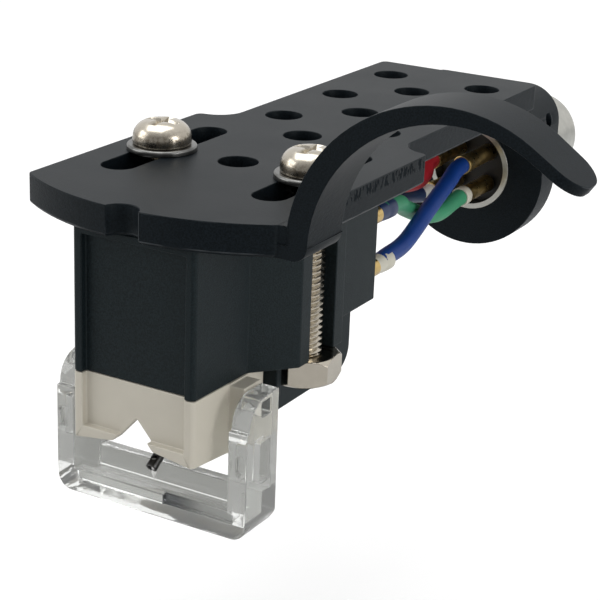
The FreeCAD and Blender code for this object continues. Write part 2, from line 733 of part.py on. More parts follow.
def screw(x):
    """Pan head screw with a cross recess."""
    seat = S.plate_top + S.washer_thick
    shank = turned("z", S.screw_radius, seat - S.screw_length, seat, x, SCREWS)
    head = turned("z", S.head_radius, seat, seat + S.head_height, x, SCREWS)
    crown = lambda edge: near(edge.BoundBox.ZMin, seat + S.head_height)
    domed = dressed("Part::Fillet", head, S.head_height * 0.72, crown)
    half = S.recess_width / 2
    low = seat + S.head_height - S.recess_depth
    high = seat + S.head_height + 1
    reach = S.recess_reach
    cross = [box(x - reach, x + reach, SCREWS - half, SCREWS + half, low, high),
             box(x - half, x + half, SCREWS - reach, SCREWS + reach, low, high)]
    return cut(fuse(shank, domed), *cross)


def nut(x, sign):
    """Hexagon nut with turned corners and a plain bore that clears the thread."""
    top = BODY_BOTTOM
    low = top - S.nut_height
    prism = doc.addObject("Part::Prism", "hexagon")
    prism.Polygon = 6
    prism.Placement = Placement(Vector(), Rotation(Vector(0, 0, 1), sign * float(S.nut_turn)))
    bind(prism, Circumradius=S.nut_flats / math.sqrt(3), Height=S.nut_height,
         x=x, y=SCREWS, z=low)
    shaped = prism
    wide = S.nut_flats / 2 + S.nut_height * S.nut_chamfer
    for first, last in ((S.nut_flats / 2, wide), (wide, S.nut_flats / 2)):
        cone = doc.addObject("Part::Cone", "chamfer")
        bind(cone, Radius1=first, Radius2=last, Height=S.nut_height, x=x, y=SCREWS, z=low)
        shaped = common(shaped, cone)
    return cut(shaped, turned("z", S.screw_radius + 0.02, low - 1, top + 1, x, SCREWS))


# Cartridge body and what it holds
def cartridge_body():
    body = new_body("cartridge_body")
    face = S.face_half
    waist = S.waist_half
    ear = S.ear_half
    right = [(face, ahead(S.body_reach)), (waist, ahead(S.waist_reach)),
             (ear, ahead(S.ear_ahead)), (ear, behind(S.ear_behind)),
             (waist, behind(S.ear_behind)), (waist, behind(S.block_back))]
    left = [(-x, y) for x, y in reversed(right)]
    pad(body, outline(body, "XY_Plane", BODY_BOTTOM, right + left), S.body_height)
    keel_bottom = BODY_BOTTOM - S.keel_drop
    keel = [(ahead(S.keel_ahead), keel_bottom), (behind(S.block_back), keel_bottom),
            (behind(S.block_back), BODY_BOTTOM + 0.2), (ahead(S.keel_ahead), BODY_BOTTOM + 0.2)]
    pad(body, outline(body, "YZ_Plane", -S.keel_half, keel), S.keel_half * 2)
    heel = lambda edge: (along(edge, "x") and near(edge.BoundBox.ZMin, keel_bottom)
                         and near(edge.BoundBox.YMin, behind(S.block_back)))
    soften(body, "PartDesign::Fillet", S.keel_radius, heel)
    tab = [(ahead(S.keel_ahead), BODY_BOTTOM - S.tab_drop),
           (ahead(S.keel_ahead - S.tab_thick), BODY_BOTTOM - S.tab_drop),
           (ahead(S.keel_ahead - S.tab_thick), BODY_BOTTOM + 0.2),
           (ahead(S.keel_ahead), BODY_BOTTOM + 0.2)]
    pad(body, outline(body, "YZ_Plane", -S.tab_reach, tab), S.tab_reach * 2)
    ear_slots(body)
    front_panel(body)
    inner_cavity(body)


def ear_slots(body):
    """Open slots in the ears that the screws lie in."""
    half = S.ear_slot_half
    far = S.ear_half + 1
    for sign in (-1, 1):
        corners = [(SCREW_X * sign, ahead(half)), (far * sign, ahead(half)),
                   (far * sign, behind(half)), (SCREW_X * sign, behind(half))]
        slot = outline(body, "XY_Plane", BODY_BOTTOM - 0.01, corners,
                       {3: (half, sign > 0)})
        pocket(body, slot, S.body_height + 0.02)


def front_panel(body):
    """Panel sunk into the front face, open at its lower end."""
    half = S.face_half - S.face_rim
    front = ahead(S.body_reach)
    low = BODY_BOTTOM - 0.1
    top = UNDER_PLATE - S.face_rim_top
    corners = [(-half, low), (half, low), (half, top), (-half, top)]
    pocket(body, outline(body, "XZ_Plane", -(front + S.face_inset), corners), S.face_inset + 1)
    upright = lambda edge: (along(edge, "z") and near(edge.BoundBox.YMin, front)
                            and near(abs(edge.BoundBox.XMin), S.face_half))
    soften(body, "PartDesign::Chamfer", S.edge_break, upright)


def inner_cavity(body):
    """Cavity for the coils, slits for the pole pieces and the socket of the stylus tube."""
    half = S.cavity_half
    low = BODY_BOTTOM + S.cavity_floor
    top = UNDER_PLATE - S.cavity_roof
    start = ahead(S.cavity_ahead)
    corners = [(-half, low), (half, low), (half, top), (-half, top)]
    length = behind(S.block_back) + 1 - start
    pocket(body, outline(body, "XZ_Plane", -(behind(S.block_back) + 1), corners), length)
    gap = S.grip_top_gap
    foot = UNDER_PLATE - S.pole_down - gap
    for sign in (-1, 1):
        near_x = (S.pole_side - gap) * sign
        far_x = (S.pole_side + S.pole_thick + gap) * sign
        front = ahead(S.pole_ahead + gap)
        back = front + S.pole_length + gap * 2
        slit = [(near_x, front), (far_x, front), (far_x, back), (near_x, back)]
        pocket(body, outline(body, "XY_Plane", foot, slit), low + 0.1 - foot)
    socket = discs(body, "XZ_Plane", -behind(S.stem_behind + 0.3), [(0, STEM_Z)],
                   S.stem_radius + S.stem_gap)
    pocket(body, socket, S.stem_behind + 0.3 + S.keel_ahead + 0.1)


def generator():
    """Terminal block, pins, pole pieces, coils and the shield over them."""
    gap = S.grip_top_gap
    half = S.cavity_half - gap
    low = BODY_BOTTOM + S.cavity_floor + gap
    top = UNDER_PLATE - S.cavity_roof - gap
    back = behind(S.block_back)
    front = back - S.block_thick
    block = box(-half, half, front, back, low, top)
    holes = [turned("y", S.contact_radius + S.fit_gap / 2, front - 1, back + 1, x, z)
             for x, z in terminal_places().values()]
    keep(cut(block, *holes), "terminal_block")
    for colour, (x, z) in terminal_places().items():
        pin = turned("y", S.contact_radius, front - S.terminal_in, back + S.terminal_out, x, z)
        end = lambda edge: edge.BoundBox.YLength < 1e-4
        keep(dressed("Part::Chamfer", pin, S.pin_chamfer, end), "terminal_pin_" + colour)
    for side, sign in SIDES:
        near_x, far_x = sorted(((S.pole_side * sign), (S.pole_side + S.pole_thick) * sign),
                               key=float)
        y0 = ahead(S.pole_ahead)
        y1 = y0 + S.pole_length
        keep(box(near_x, far_x, y0, y1, UNDER_PLATE - S.pole_down, UNDER_PLATE - S.pole_up),
             "pole_piece_" + side)
        wrap = S.coil_wrap
        z1 = UNDER_PLATE - S.coil_drop
        z0 = z1 - S.coil_height
        hole = box(near_x - gap, far_x + gap, y0 - gap, y1 + gap, z0 - 1, z1 + 1)
        winding = box(near_x - wrap, far_x + wrap, y0 - wrap, y1 + wrap, z0, z1)
        upright = lambda edge: along(edge, "z")
        keep(cut(dressed("Part::Fillet", winding, wrap * 0.8, upright), hole), "coil_" + side)
    sheet_half = half - gap
    inner = sheet_half - S.shield_gauge
    y0 = ahead(S.cavity_ahead - gap * 2)
    y1 = behind(S.shield_back)
    cover = box(-sheet_half, sheet_half, y0, y1, low + gap, top)
    keep(cut(cover, box(-inner, inner, y0 - 1, y1 + 1, low - 1, top - S.shield_gauge)),
         "magnetic_shield")


def terminal_places():
    """Each terminal's place across the body's rear, by the colour of its lead."""
    side = S.terminal_side
    low = BODY_BOTTOM + S.terminal_rise
    high = low + S.terminal_step
    return {"blue": (side, low), "green": (side, high),
            "red": (-side, high), "white": (-side, low)}


# Replaceable stylus
def stylus_grip():
    body = new_body("stylus_grip")
    front = ahead(S.body_reach)
    back = ahead(S.keel_ahead + S.grip_back_gap)
    low = BODY_BOTTOM - S.grip_drop
    belly = low - S.grip_belly
    side_view = [(front, low), (ahead(S.grip_belly_back), belly), (ahead(S.grip_heel), low + 0.6),
                 (back, low + 0.6), (back, GRIP_TOP), (front, GRIP_TOP)]
    pad(body, outline(body, "YZ_Plane", -S.waist_half, side_view), S.waist_half * 2)
    rail_low = GRIP_TOP - S.rail_height
    rail = [(ahead(S.rail_ahead), rail_low), (ahead(S.rail_behind), rail_low),
            (ahead(S.rail_behind), GRIP_TOP - 0.1), (ahead(S.rail_ahead), GRIP_TOP - 0.1)]
    pad(body, outline(body, "YZ_Plane", -S.rail_reach, rail), S.rail_reach * 2)
    grip_trim(body, low)
    grip_hollow(body, front, back, low)
    panel = S.face_half - S.face_rim
    ledge = low + S.grip_centre_lift + S.grip_ledge
    corners = [(-panel, ledge), (panel, ledge), (panel, GRIP_TOP + 0.1), (-panel, GRIP_TOP + 0.1)]
    pocket(body, outline(body, "XZ_Plane", -(front + S.face_inset), corners), S.face_inset + 1)
    corner = lambda edge: (along(edge, "z") and near(edge.BoundBox.YMin, front)
                           and abs(edge.BoundBox.XMin) > float(S.face_half) - 0.3)
    soften(body, "PartDesign::Chamfer", S.edge_break, corner)


def grip_trim(body, low):
    """Tapers the flanks to the body's width and shapes the lower edge with its notch."""
    face = S.face_half
    waist = S.waist_half
    deep = BODY_BOTTOM - low + S.grip_belly + 1
    for sign in (-1, 1):
        wedge = [(face * sign, ahead(S.body_reach)),
                 ((face + (waist - face) * 0.66) * sign, ahead(S.rail_ahead)),
                 ((waist + 1) * sign, ahead(S.rail_ahead)),
                 ((waist + 1) * sign, ahead(S.body_reach))]
        pocket(body, outline(body, "XY_Plane", low - S.grip_belly - 0.5, wedge), deep)
    centre = low + S.grip_centre_lift
    notch = [(-face - 2, low - 2), (face + 2, low - 2), (face - 0.3, low),
             (S.notch_half, centre), (0, centre + S.notch_height),
             (-S.notch_half, centre), (0.3 - face, low)]
    wall = S.grip_front_wall
    pocket(body, outline(body, "XZ_Plane", -(ahead(S.body_reach) + wall), notch), wall + 1)


def grip_hollow(body, front, back, low):
    """Hollow behind the front wall, open below, and the seat of the stylus tube."""
    half = S.face_half - S.grip_side_wall
    y0 = front + S.grip_front_wall
    y1 = back - S.grip_back_wall
    corners = [(-half, y0), (half, y0), (half, y1), (-half, y1)]
    height = GRIP_TOP - S.grip_roof - (low - S.grip_belly) + 1
    pocket(body, outline(body, "XY_Plane", low - S.grip_belly - 1, corners), height)
    seat = discs(body, "XZ_Plane", -(back + 0.1), [(0, STEM_Z)], S.stem_radius + S.fit_gap)
    pocket(body, seat, S.grip_back_wall + 0.2)


def stylus():
    """Tube with damper and magnet, and the cantilever with its tip."""
    end = behind(S.stem_behind)
    tube = cut(turned("y", S.stem_radius, ahead(S.stem_ahead), end, 0, STEM_Z),
               turned("y", S.stem_bore, ahead(S.stem_ahead) - 1, end - 0.4, 0, STEM_Z))
    keep(tube, "stylus_tube")
    pivot = ahead(S.pivot_ahead)
    half = S.damper_thick / 2
    ring = cut(turned("y", S.stem_bore - S.fit_gap / 2, pivot - half, pivot + half, 0, STEM_Z),
               turned("y", S.damper_bore, pivot - 1, pivot + 1, 0, STEM_Z))
    keep(ring, "rubber_damper")
    back = pivot + S.bead_radius + S.magnet_gap
    keep(turned("y", S.magnet_radius, back, back + S.magnet_length, 0, STEM_Z), "magnet")
    cantilever(pivot, back)


def slanted(radius, y, z, length, run):
    """Cylinder in the middle plane that starts at y and z and falls to the front."""
    solid = doc.addObject("Part::Cylinder", "round")
    solid.Placement = Placement(Vector(), Rotation(Vector(1, 0, 0), 90))
    fall = "atan((%s) / (%s))" % (S.arm_fall.text, run.text)
    solid.setExpression("Placement.Rotation.Angle", "90deg + " + fall)
    return bind(solid, Radius=radius, Height=length, y=y, z=z)


def ball(radius, y, z):
    solid = doc.addObject("Part::Sphere", "ball")
    return bind(solid, Radius=radius, y=y, z=z)


def cantilever(pivot, back):
    """Light tube that falls to the front, with a bead at its pivot and the tip across its end."""
    radius = S.arm_radius
    knee = pivot - S.knee_ahead
    run = knee - ahead(S.body_reach - S.arm_setback)
    length = root(run * run + S.arm_fall * S.arm_fall)
    across = run / length
    down = S.arm_fall / length
    to_tip = length - S.tip_setback
    tip_y = knee - to_tip * across
    tip_z = STEM_Z - to_tip * down
    arm = fuse(turned("y", radius, knee, back, 0, STEM_Z), ball(radius, knee, STEM_Z),
               ball(S.bead_radius, pivot, STEM_Z), slanted(radius, knee, STEM_Z, length, run))
    opening = length - S.tip_setback * 4
    bore = slanted(radius * 0.6, knee - opening * across, STEM_Z - opening * down, length, run)
    hole = turned("z", S.tip_radius + S.fit_gap / 2, tip_z - radius * 2, tip_z + radius * 2,
                  0, tip_y)
    keep(cut(arm, bore, hole), "cantilever")
    top = tip_z + radius * 0.75
    shoulder = tip_z - S.tip_length * 0.6
    shank = turned("z", S.tip_radius, shoulder, top, 0, tip_y)
    point = doc.addObject("Part::Cone", "point")
    bind(point, Radius1=S.tip_radius / 8, Radius2=S.tip_radius, Height=S.tip_length * 0.4,
         y=tip_y, z=tip_z - S.tip_length)
    keep(fuse(shank, point), "stylus_tip")


def stylus_guard():
    """Clear tray with an arm at each side that slips over the grip's rails."""
    body = new_body("stylus_guard")
    half = S.guard_half
    front = ahead(S.body_reach - S.guard_setback)
    back = front + S.guard_length
    bottom = UNDER_PLATE - S.guard_drop
    top = BODY_BOTTOM - S.guard_top_gap
    step = top - S.guard_step_drop
    upper = front + S.guard_arm_setback
    side_view = [(front, bottom), (back - S.guard_heel, bottom), (back, bottom + S.guard_heel),
                 (back, top), (upper, top), (upper, step), (front, step)]
    pad(body, outline(body, "YZ_Plane", -half, side_view), half * 2)
    lower = lambda edge: near(edge.BoundBox.ZMin, bottom) and along(edge, "y")
    soften(body, "PartDesign::Fillet", S.guard_corner, lower)
    crown = lambda edge: (near(edge.BoundBox.ZMin, top) and along(edge, "x")
                          and near(edge.BoundBox.YMin, upper))
    soften(body, "PartDesign::Fillet", S.guard_crown, crown)
    inner = half - S.guard_arm
    floor = bottom + S.guard_floor
    hollow = [(-inner, floor), (inner, floor), (inner, top + 1), (-inner, top + 1)]
    depth = back - front - S.guard_bar * 2
    pocket(body, outline(body, "XZ_Plane", -(back - S.guard_bar), hollow), depth)
    guard_wall(body, front - 0.1, front + S.guard_bar + 0.05, floor + S.guard_bar_height, inner, top)
    guard_wall(body, back - S.guard_bar - 0.05, back + 0.1, floor + S.guard_back_height, inner, top)
    guard_windows(body, front + S.window_setback, top)
    guard_front(body, front, floor + S.guard_bar_height, top)


def guard_wall(body, y0, y1, low, inner, top):
    """Opens the front or rear above the height of its low wall."""
    corners = [(-inner, low), (inner, low), (inner, top + 1), (-inner, top + 1)]
    pocket(body, outline(body, "XZ_Plane", -y1, corners), y1 - y0)


def guard_windows(body, y0, top):
    """Two windows through both arms, with a bridge between them."""
    y1 = y0 + S.window_length
    high = top - S.window_top
    for start, height in ((high, S.window_high),
                          (high - S.window_high - S.window_bridge, S.window_low)):
        corners = [(y0, start - height), (y1, start - height), (y1, start), (y0, start)]
        pocket(body, outline(body, "YZ_Plane", -S.guard_half - 1, corners),
               S.guard_half * 2 + 2)


def guard_front(body, front, bar_top, top):
    """Dimples in the fronts of the arms and the rebate in the right half of the front wall."""
    half = S.dimple_half
    straight = S.dimple_height / 2 - half
    middle = top - S.dimple_drop
    for sign in (-1, 1):
        x = S.dimple_side * sign
        corners = [(x - half, middle - straight), (x + half, middle - straight),
                   (x + half, middle + straight), (x - half, middle + straight)]
        dimple = outline(body, "XZ_Plane", -(front + S.rebate_depth), corners,
                         {0: (half, True), 2: (half, True)})
        pocket(body, dimple, S.rebate_depth + 1)
    low = bar_top - S.rebate_height
    corners = [(S.rebate_start, low), (S.rebate_end, low),
               (S.rebate_end, bar_top), (S.rebate_start, bar_top)]
    pocket(body, outline(body, "XZ_Plane", -(front + S.rebate_depth), corners), S.rebate_depth + 1)


# Leads and their clips
def clip(x, z, socket_end, tail_end):
    """Slotted socket on a pin, with a crimped tail towards the lead."""
    mouth, joint = socket_end, tail_end
    sign = 1 if float(joint) > float(mouth) else -1
    neck = mouth + S.clip_length * sign
    low, high = sorted((mouth, neck), key=float)
    tail_low, tail_high = sorted((neck, joint), key=float)
    shape = fuse(turned("y", S.clip_radius, low, high, x, z),
                 turned("y", S.clip_tail_radius, tail_low, tail_high, x, z))
    bore_end = neck - as_size(0.5) * sign
    bore_low, bore_high = sorted((mouth - as_size(0.1) * sign, bore_end), key=float)
    slit = S.clip_slit / 2
    return cut(shape, turned("y", S.clip_bore, bore_low, bore_high, x, z),
               box(x - slit, x + slit, bore_low, bore_high, z - S.clip_radius - 0.1, z))


def lead_ends():
    """Where each lead meets its two clips."""
    ends = {}
    for colour in LEAD_COLOURS:
        x, z = terminal_places()[colour]
        mouth = behind(S.block_back) + 0.3
        joint = mouth + S.clip_length + S.clip_tail
        keep(clip(x, z, mouth, joint), "cartridge_clip_" + colour)
        start = Vector(float(x), float(joint), float(z))
        x, z = contact_places()[colour]
        mouth = COLLAR_FRONT + S.insulator_front - 0.4
        joint = mouth - S.clip_length - S.clip_tail
        keep(clip(x, z, mouth, joint), "connector_clip_" + colour)
        ends[colour] = (start, Vector(float(x), float(joint), float(z)))
    return ends


# Points between the ends of each lead: share of the way back, then sideways and upwards
LEAD_ROUTES = {
    "blue": [(0.18, 2.95, -2.15), (0.34, 2.8, -1.25), (0.47, 2.65, -0.4), (0.63, 2.35, 0.3),
             (0.85, 1.75, 0.9)],
    "green": [(0.21, 2.2, 1.5), (0.35, 1.3, 0.35), (0.46, 1.0, -0.45), (0.59, 1.0, -1.4),
              (0.77, 1.35, -2.2)],
    "red": [(0.24, -2.9, 2.1), (0.47, -1.6, 1.3), (0.71, -0.6, 0.6), (0.85, -0.75, 0.9)],
    "white": [(0.21, -3.1, -1.2), (0.41, -2.5, -0.2), (0.65, -1.9, -0.4), (0.80, -1.6, -0.9)],
}


def leads():
    for colour, (start, end) in lead_ends().items():
        straight = Vector(0, float(S.lead_straight), 0)
        route = [start, start + straight]
        for share, x, z in LEAD_ROUTES[colour]:
            route.append(Vector(x, start.y + (end.y - start.y) * share, z))
        route += [end - straight, end]
        piece = doc.addObject("Part::Feature", "lead_" + colour)
        piece.Shape = cord(route, float(S.lead_radius), "lead_" + colour)
        keep(piece, "lead_" + colour)


def cord(route, radius, name):
    """Round cord along straight runs joined by tangent arcs."""
    edges = []
    radii = []
    start = route[0]
    for before, corner, after in zip(route, route[1:], route[2:]):
        into = (corner - before).normalize()
        out = (after - corner).normalize()
        turn = into.getAngle(out)
        trim = 0.45 * min((corner - before).Length, (after - corner).Length)
        bend = trim / math.tan(turn / 2)
        radii.append(round(bend, 1))
        first = corner - into * trim
        last = corner + out * trim
        side = (out - into).normalize()
        middle = corner + side * (bend / math.cos(turn / 2) - bend)
        edges.append(Part.LineSegment(start, first).toShape())
        edges.append(Part.Arc(first, middle, last).toShape())
        start = last
    edges.append(Part.LineSegment(start, route[-1]).toShape())
    path = Part.Wire(edges)
    way = (route[1] - route[0]).normalize()
    profile = Part.Wire([Part.makeCircle(radius, route[0], way)])
    solid = path.makePipeShell([profile], True, False)
    expected = math.pi * radius ** 2 * path.Length
    print(name, "bends", radii, "length", round(path.Length, 1),
          "volume ratio", round(solid.Volume / expected, 3))
    return solid


def check_and_write():
    """Stops on any failed object, then writes one STEP file for each sub-part."""
    doc.recompute()
    for item in doc.Objects:
        if "Invalid" in item.State or "Error" in item.State:
            raise RuntimeError("%s failed: %s" % (item.Label, item.State))
    os.makedirs("parts", exist_ok=True)
    for piece in pieces:
        shape = piece.Shape
        if shape.isNull() or not shape.isValid() or not shape.Solids:
            raise RuntimeError(piece.Label + " has no valid solid")
    for piece in pieces:
        piece.Shape.exportStep("parts/%s.step" % piece.Label)
    print(len(pieces), "sub-parts written")


headshell()
connector()
fasteners()
cartridge_body()
generator()
stylus_grip()
stylus()
stylus_guard()
leads()
check_and_write()
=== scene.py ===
"""Phono cartridge on its headshell: finishes, fasteners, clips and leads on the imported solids."""
import math

import bpy
from mathutils import Matrix, Vector


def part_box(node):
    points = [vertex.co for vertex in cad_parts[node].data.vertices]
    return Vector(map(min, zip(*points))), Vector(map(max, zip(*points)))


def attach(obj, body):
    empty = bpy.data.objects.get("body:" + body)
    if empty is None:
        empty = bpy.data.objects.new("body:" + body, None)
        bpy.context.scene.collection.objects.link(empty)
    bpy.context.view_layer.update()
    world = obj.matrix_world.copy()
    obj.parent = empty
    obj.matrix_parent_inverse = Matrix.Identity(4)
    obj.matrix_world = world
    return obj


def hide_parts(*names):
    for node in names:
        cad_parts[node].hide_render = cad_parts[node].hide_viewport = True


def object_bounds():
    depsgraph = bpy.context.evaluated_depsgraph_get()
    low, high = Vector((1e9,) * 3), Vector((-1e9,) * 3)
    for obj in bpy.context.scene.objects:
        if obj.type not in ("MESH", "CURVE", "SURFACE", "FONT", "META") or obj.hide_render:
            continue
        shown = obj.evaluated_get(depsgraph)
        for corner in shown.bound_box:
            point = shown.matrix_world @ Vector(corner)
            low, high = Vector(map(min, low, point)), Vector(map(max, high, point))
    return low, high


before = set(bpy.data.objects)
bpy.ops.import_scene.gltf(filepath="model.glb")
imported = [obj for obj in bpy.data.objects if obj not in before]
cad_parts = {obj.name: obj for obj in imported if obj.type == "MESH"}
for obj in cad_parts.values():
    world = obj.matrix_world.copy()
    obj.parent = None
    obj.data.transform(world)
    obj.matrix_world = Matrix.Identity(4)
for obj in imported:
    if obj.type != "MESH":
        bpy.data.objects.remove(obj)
CAD_BOX = [list(corner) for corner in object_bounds()]

bl_info = {
    "name": "Phono cartridge",
    "version": (1, 0, 0),
    "blender": (4, 5, 0),
    "location": "3D View > Sidebar > Cartridge",
    "description": "Adds the finishes, fasteners, clips and leads of a phono cartridge",
    "category": "Object",
}

MM = 0.001

# Bodies of the frame
HOLDER = "cartridge_and_headshell"
STYLUS = "stylus_holder"
ARM = "cantilever_arm"
GUARD = "guard"

SIDES = ("left", "right")
LEAD_COLOURS = ("blue", "green", "red", "white")
GROUPS = ("stage", "headshell", "connector", "fasteners", "body", "stylus", "guard", "leads")


# Sizes and colours that a user would change
def length_of(name, default, description):
    """Length property in metres, from a default in millimetres."""
    return bpy.props.FloatProperty(name=name, description=description, default=default * MM,
                                   unit="LENGTH", precision=5)


def colour_of(name, default, description):
    return bpy.props.FloatVectorProperty(name=name, description=description, default=default,
                                         subtype="COLOR", size=3, min=0, max=1)


class CartridgeSizes(bpy.types.PropertyGroup):
    """Small lengths that the solids leave out."""
    casting_edge: length_of("Casting edge", 0.06, "Rounding of the headshell's edges")
    lift_rounding: length_of("Lift rounding", 1.05, "Rounding under the foot of the finger lift")
    moulding_edge: length_of("Moulding edge", 0.10, "Rounding of the body's edges")
    grip_edge: length_of("Grip edge", 0.10, "Rounding of the stylus grip's edges")
    guard_edge: length_of("Guard edge", 0.12, "Rounding of the clear guard's edges")
    metal_edge: length_of("Metal edge", 0.06, "Rounding of the turned and pressed metal pieces")
    thread_pitch: length_of("Thread pitch", 0.45, "Rise of the screws' thread in one turn")
    thread_depth: length_of("Thread depth", 0.27, "Height of the thread over its root")
    recess_reach: length_of("Recess reach", 1.7, "Half length of the cross recess")
    recess_width: length_of("Recess width", 0.80, "Width of the cross recess")
    recess_depth: length_of("Recess depth", 1.0, "Depth of the cross recess")
    sheet_gauge: length_of("Clip sheet", 0.15, "Thickness of the sheet that a clip is rolled from")
    lead_radius: length_of("Lead radius", 0.75, "Radius of an insulated lead")


class CartridgeColours(bpy.types.PropertyGroup):
    """Main colours of the finishes."""
    casting: colour_of("Casting", (0.004, 0.006, 0.008), "Black coat of the headshell")
    moulding: colour_of("Body", (0.006, 0.010, 0.012), "Black plastic of the body")
    grip: colour_of("Grip", (0.50, 0.47, 0.40), "Beige plastic of the stylus grip")
    guard: colour_of("Guard", (0.97, 0.98, 0.96), "Clear plastic of the guard")
    nickel: colour_of("Nickel", (0.50, 0.46, 0.39), "Nickel plate of the fasteners")
    gold: colour_of("Gold", (0.62, 0.44, 0.17), "Gold plate of clips and pins")
    blue: colour_of("Blue lead", (0.004, 0.035, 0.19), "Insulation of the blue lead")
    green: colour_of("Green lead", (0.04, 0.24, 0.12), "Insulation of the green lead")
    red: colour_of("Red lead", (0.45, 0.02, 0.03), "Insulation of the red lead")
    white: colour_of("White lead", (0.62, 0.62, 0.58), "Marking sleeve of the white lead")
    navy: colour_of("White lead's cover", (0.008, 0.022, 0.075),
                    "Dark insulation of the white lead in front of its sleeve")
    crimp: colour_of("Crimp", (0.52, 0.50, 0.42), "Pale crimp at the tail of a clip")


def sizes():
    return bpy.context.scene.cartridge_sizes


def colours():
    return bpy.context.scene.cartridge_colours


# Node trees
class Amount:
    """A number that varies over a surface. Sums on it add Math nodes."""

    def __init__(self, tree, socket):
        self.tree = tree
        self.socket = socket

    def maths(self, operation, first, second=0.0):
        node = self.tree.add("ShaderNodeMath", {"operation": operation}, {0: first, 1: second})
        return Amount(self.tree, node.outputs[0])

    def __add__(self, other):
        return self.maths("ADD", self, other)

    def __radd__(self, other):
        return self.maths("ADD", other, self)

    def __sub__(self, other):
        return self.maths("SUBTRACT", self, other)

    def __rsub__(self, other):
        return self.maths("SUBTRACT", other, self)

    def __mul__(self, other):
        return self.maths("MULTIPLY", self, other)

    def __rmul__(self, other):
        return self.maths("MULTIPLY", other, self)

    def __pow__(self, power):
        return self.maths("POWER", self, power)

    def __abs__(self):
        return self.maths("ABSOLUTE", self)

    def sine(self):
        return self.maths("SINE", self)

    def over(self, edge):
        """1 where the number is over an edge, else 0."""
        return self.maths("GREATER_THAN", self, edge)

    def under(self, edge):
        return 1 - self.over(edge)

    def between(self, low, high):
        """1 from low to high, else 0."""
        return self.over(low) * self.under(high)

    def ramp(self, low, high):
        """Rises smoothly from 0 at low to 1 at high."""
        settings = {"interpolation_type": "SMOOTHSTEP"}
        node = self.tree.add("ShaderNodeMapRange", settings, {0: self, 1: low, 2: high})
        return Amount(self.tree, node.outputs[0])


class Tree:
    """Node tree of a material or of the world."""

    def __init__(self, owner):
        owner.use_nodes = True
        self.node_tree = owner.node_tree
        self.node_tree.nodes.clear()

    def add(self, kind, settings=None, values=None):
        """Node of one type: its settings are set first, then its sockets' values or links."""
        node = self.node_tree.nodes.new(kind)
        for name, setting in (settings or {}).items():
            setattr(node, name, setting)
        for name, value in (values or {}).items():
            self.feed(node.inputs[name], value)
        return node

    def feed(self, socket, value):
        """Links a socket to an amount or an output, or sets it to a value."""
        if isinstance(value, Amount):
            value = value.socket
        if isinstance(value, bpy.types.NodeSocket):
            self.node_tree.links.new(value, socket)
        elif socket.type == "RGBA" and len(value) == 3:
            socket.default_value = (*value, 1)
        else:
            socket.default_value = value

    def end(self, kind, surface):
        """Output node, fed with a surface."""
        self.add(kind, values={"Surface": surface})

    def light_path(self, *names):
        node = self.add("ShaderNodeLightPath")
        return [Amount(self, node.outputs[name]) for name in names]

    def place(self, kind="Object"):
        """Coordinates on a piece in metres, or in the world."""
        return self.add("ShaderNodeTexCoord").outputs[kind]

    def split(self, vector):
        """The three parts of a vector."""
        node = self.add("ShaderNodeSeparateXYZ", values={0: vector})
        return [Amount(self, output) for output in node.outputs]

    def mix(self, factor, first, second):
        """Colour between two colours."""
        node = self.add("ShaderNodeMix", {"data_type": "RGBA"}, {0: factor, 6: first, 7: second})
        return node.outputs[2]

    def matt(self, colour):
        """Surface of plain paint."""
        return self.add("ShaderNodeBsdfDiffuse", values={"Color": colour}).outputs[0]

    def glow(self, colour, strength):
        """Surface that only gives light."""
        values = {"Color": colour, "Strength": strength}
        return self.add("ShaderNodeEmission", values=values).outputs[0]

    def choice(self, factor, first, second):
        """Surface between two surfaces."""
        values = {0: factor, 1: first, 2: second}
        return self.add("ShaderNodeMixShader", values=values).outputs[0]


class Finish(Tree):
    """Material with one Principled surface. Its lengths are in millimetres."""

    def __init__(self, name, **constants):
        self.material = bpy.data.materials.new(name)
        super().__init__(self.material)
        self.surface = self.add("ShaderNodeBsdfPrincipled")
        self.end("ShaderNodeOutputMaterial", self.surface.outputs[0])
        for socket, value in constants.items():
            self.set(socket, value)

    def set(self, name, value):
        """Socket by its name in small letters, such as base_color."""
        wanted = {socket.name.lower().replace(" ", "_"): socket for socket in self.surface.inputs}
        self.feed(wanted[name], value)

    def spot(self, stretch=(1, 1, 1)):
        """Place on the piece in millimetres, stretched along its axes."""
        values = {"Vector": self.place(), "Scale": [factor / MM for factor in stretch]}
        return self.add("ShaderNodeMapping", values=values).outputs[0]

    def facing(self):
        """Parts of the surface's normal."""
        return self.split(self.add("ShaderNodeNewGeometry").outputs["Normal"])

    def rim(self):
        """1 on the rounded edges of a piece, else 0."""
        return Amount(self, self.add("ShaderNodeAttribute", {"attribute_name": "rim"}).outputs[2])

    def noise(self, size, detail=2.0, rough=0.5, stretch=(1, 1, 1)):
        """Soft noise with blotches of about one size in millimetres."""
        values = {"Vector": self.spot(stretch), "Scale": 1 / size, "Detail": detail,
                  "Roughness": rough}
        return Amount(self, self.add("ShaderNodeTexNoise", values=values).outputs[0])

    def stains(self):
        """Soft stains of plated metal."""
        return self.noise(0.9, detail=3)

    def polish(self):
        """Fine marks of plated metal."""
        return self.noise(0.10, stretch=(1, 1, 3))

    def tones(self, colour, factor, dark, light):
        """Colour that varies between two shares of itself."""
        shades = [[min(1.0, channel * share) for channel in colour] for share in (dark, light)]
        return self.mix(factor, *shades)

    def bump(self, height, depth):
        """Relief of a depth in millimetres."""
        values = {"Height": height, "Distance": depth * MM, "Strength": 1.0}
        self.set("normal", self.add("ShaderNodeBump", values=values).outputs[0])


# Tones beside the main colours, for shine, for wear and stains, and for painted highlight,
# reflection and shade
BLACK_TINT = (0.90, 1.0, 0.99, 1)
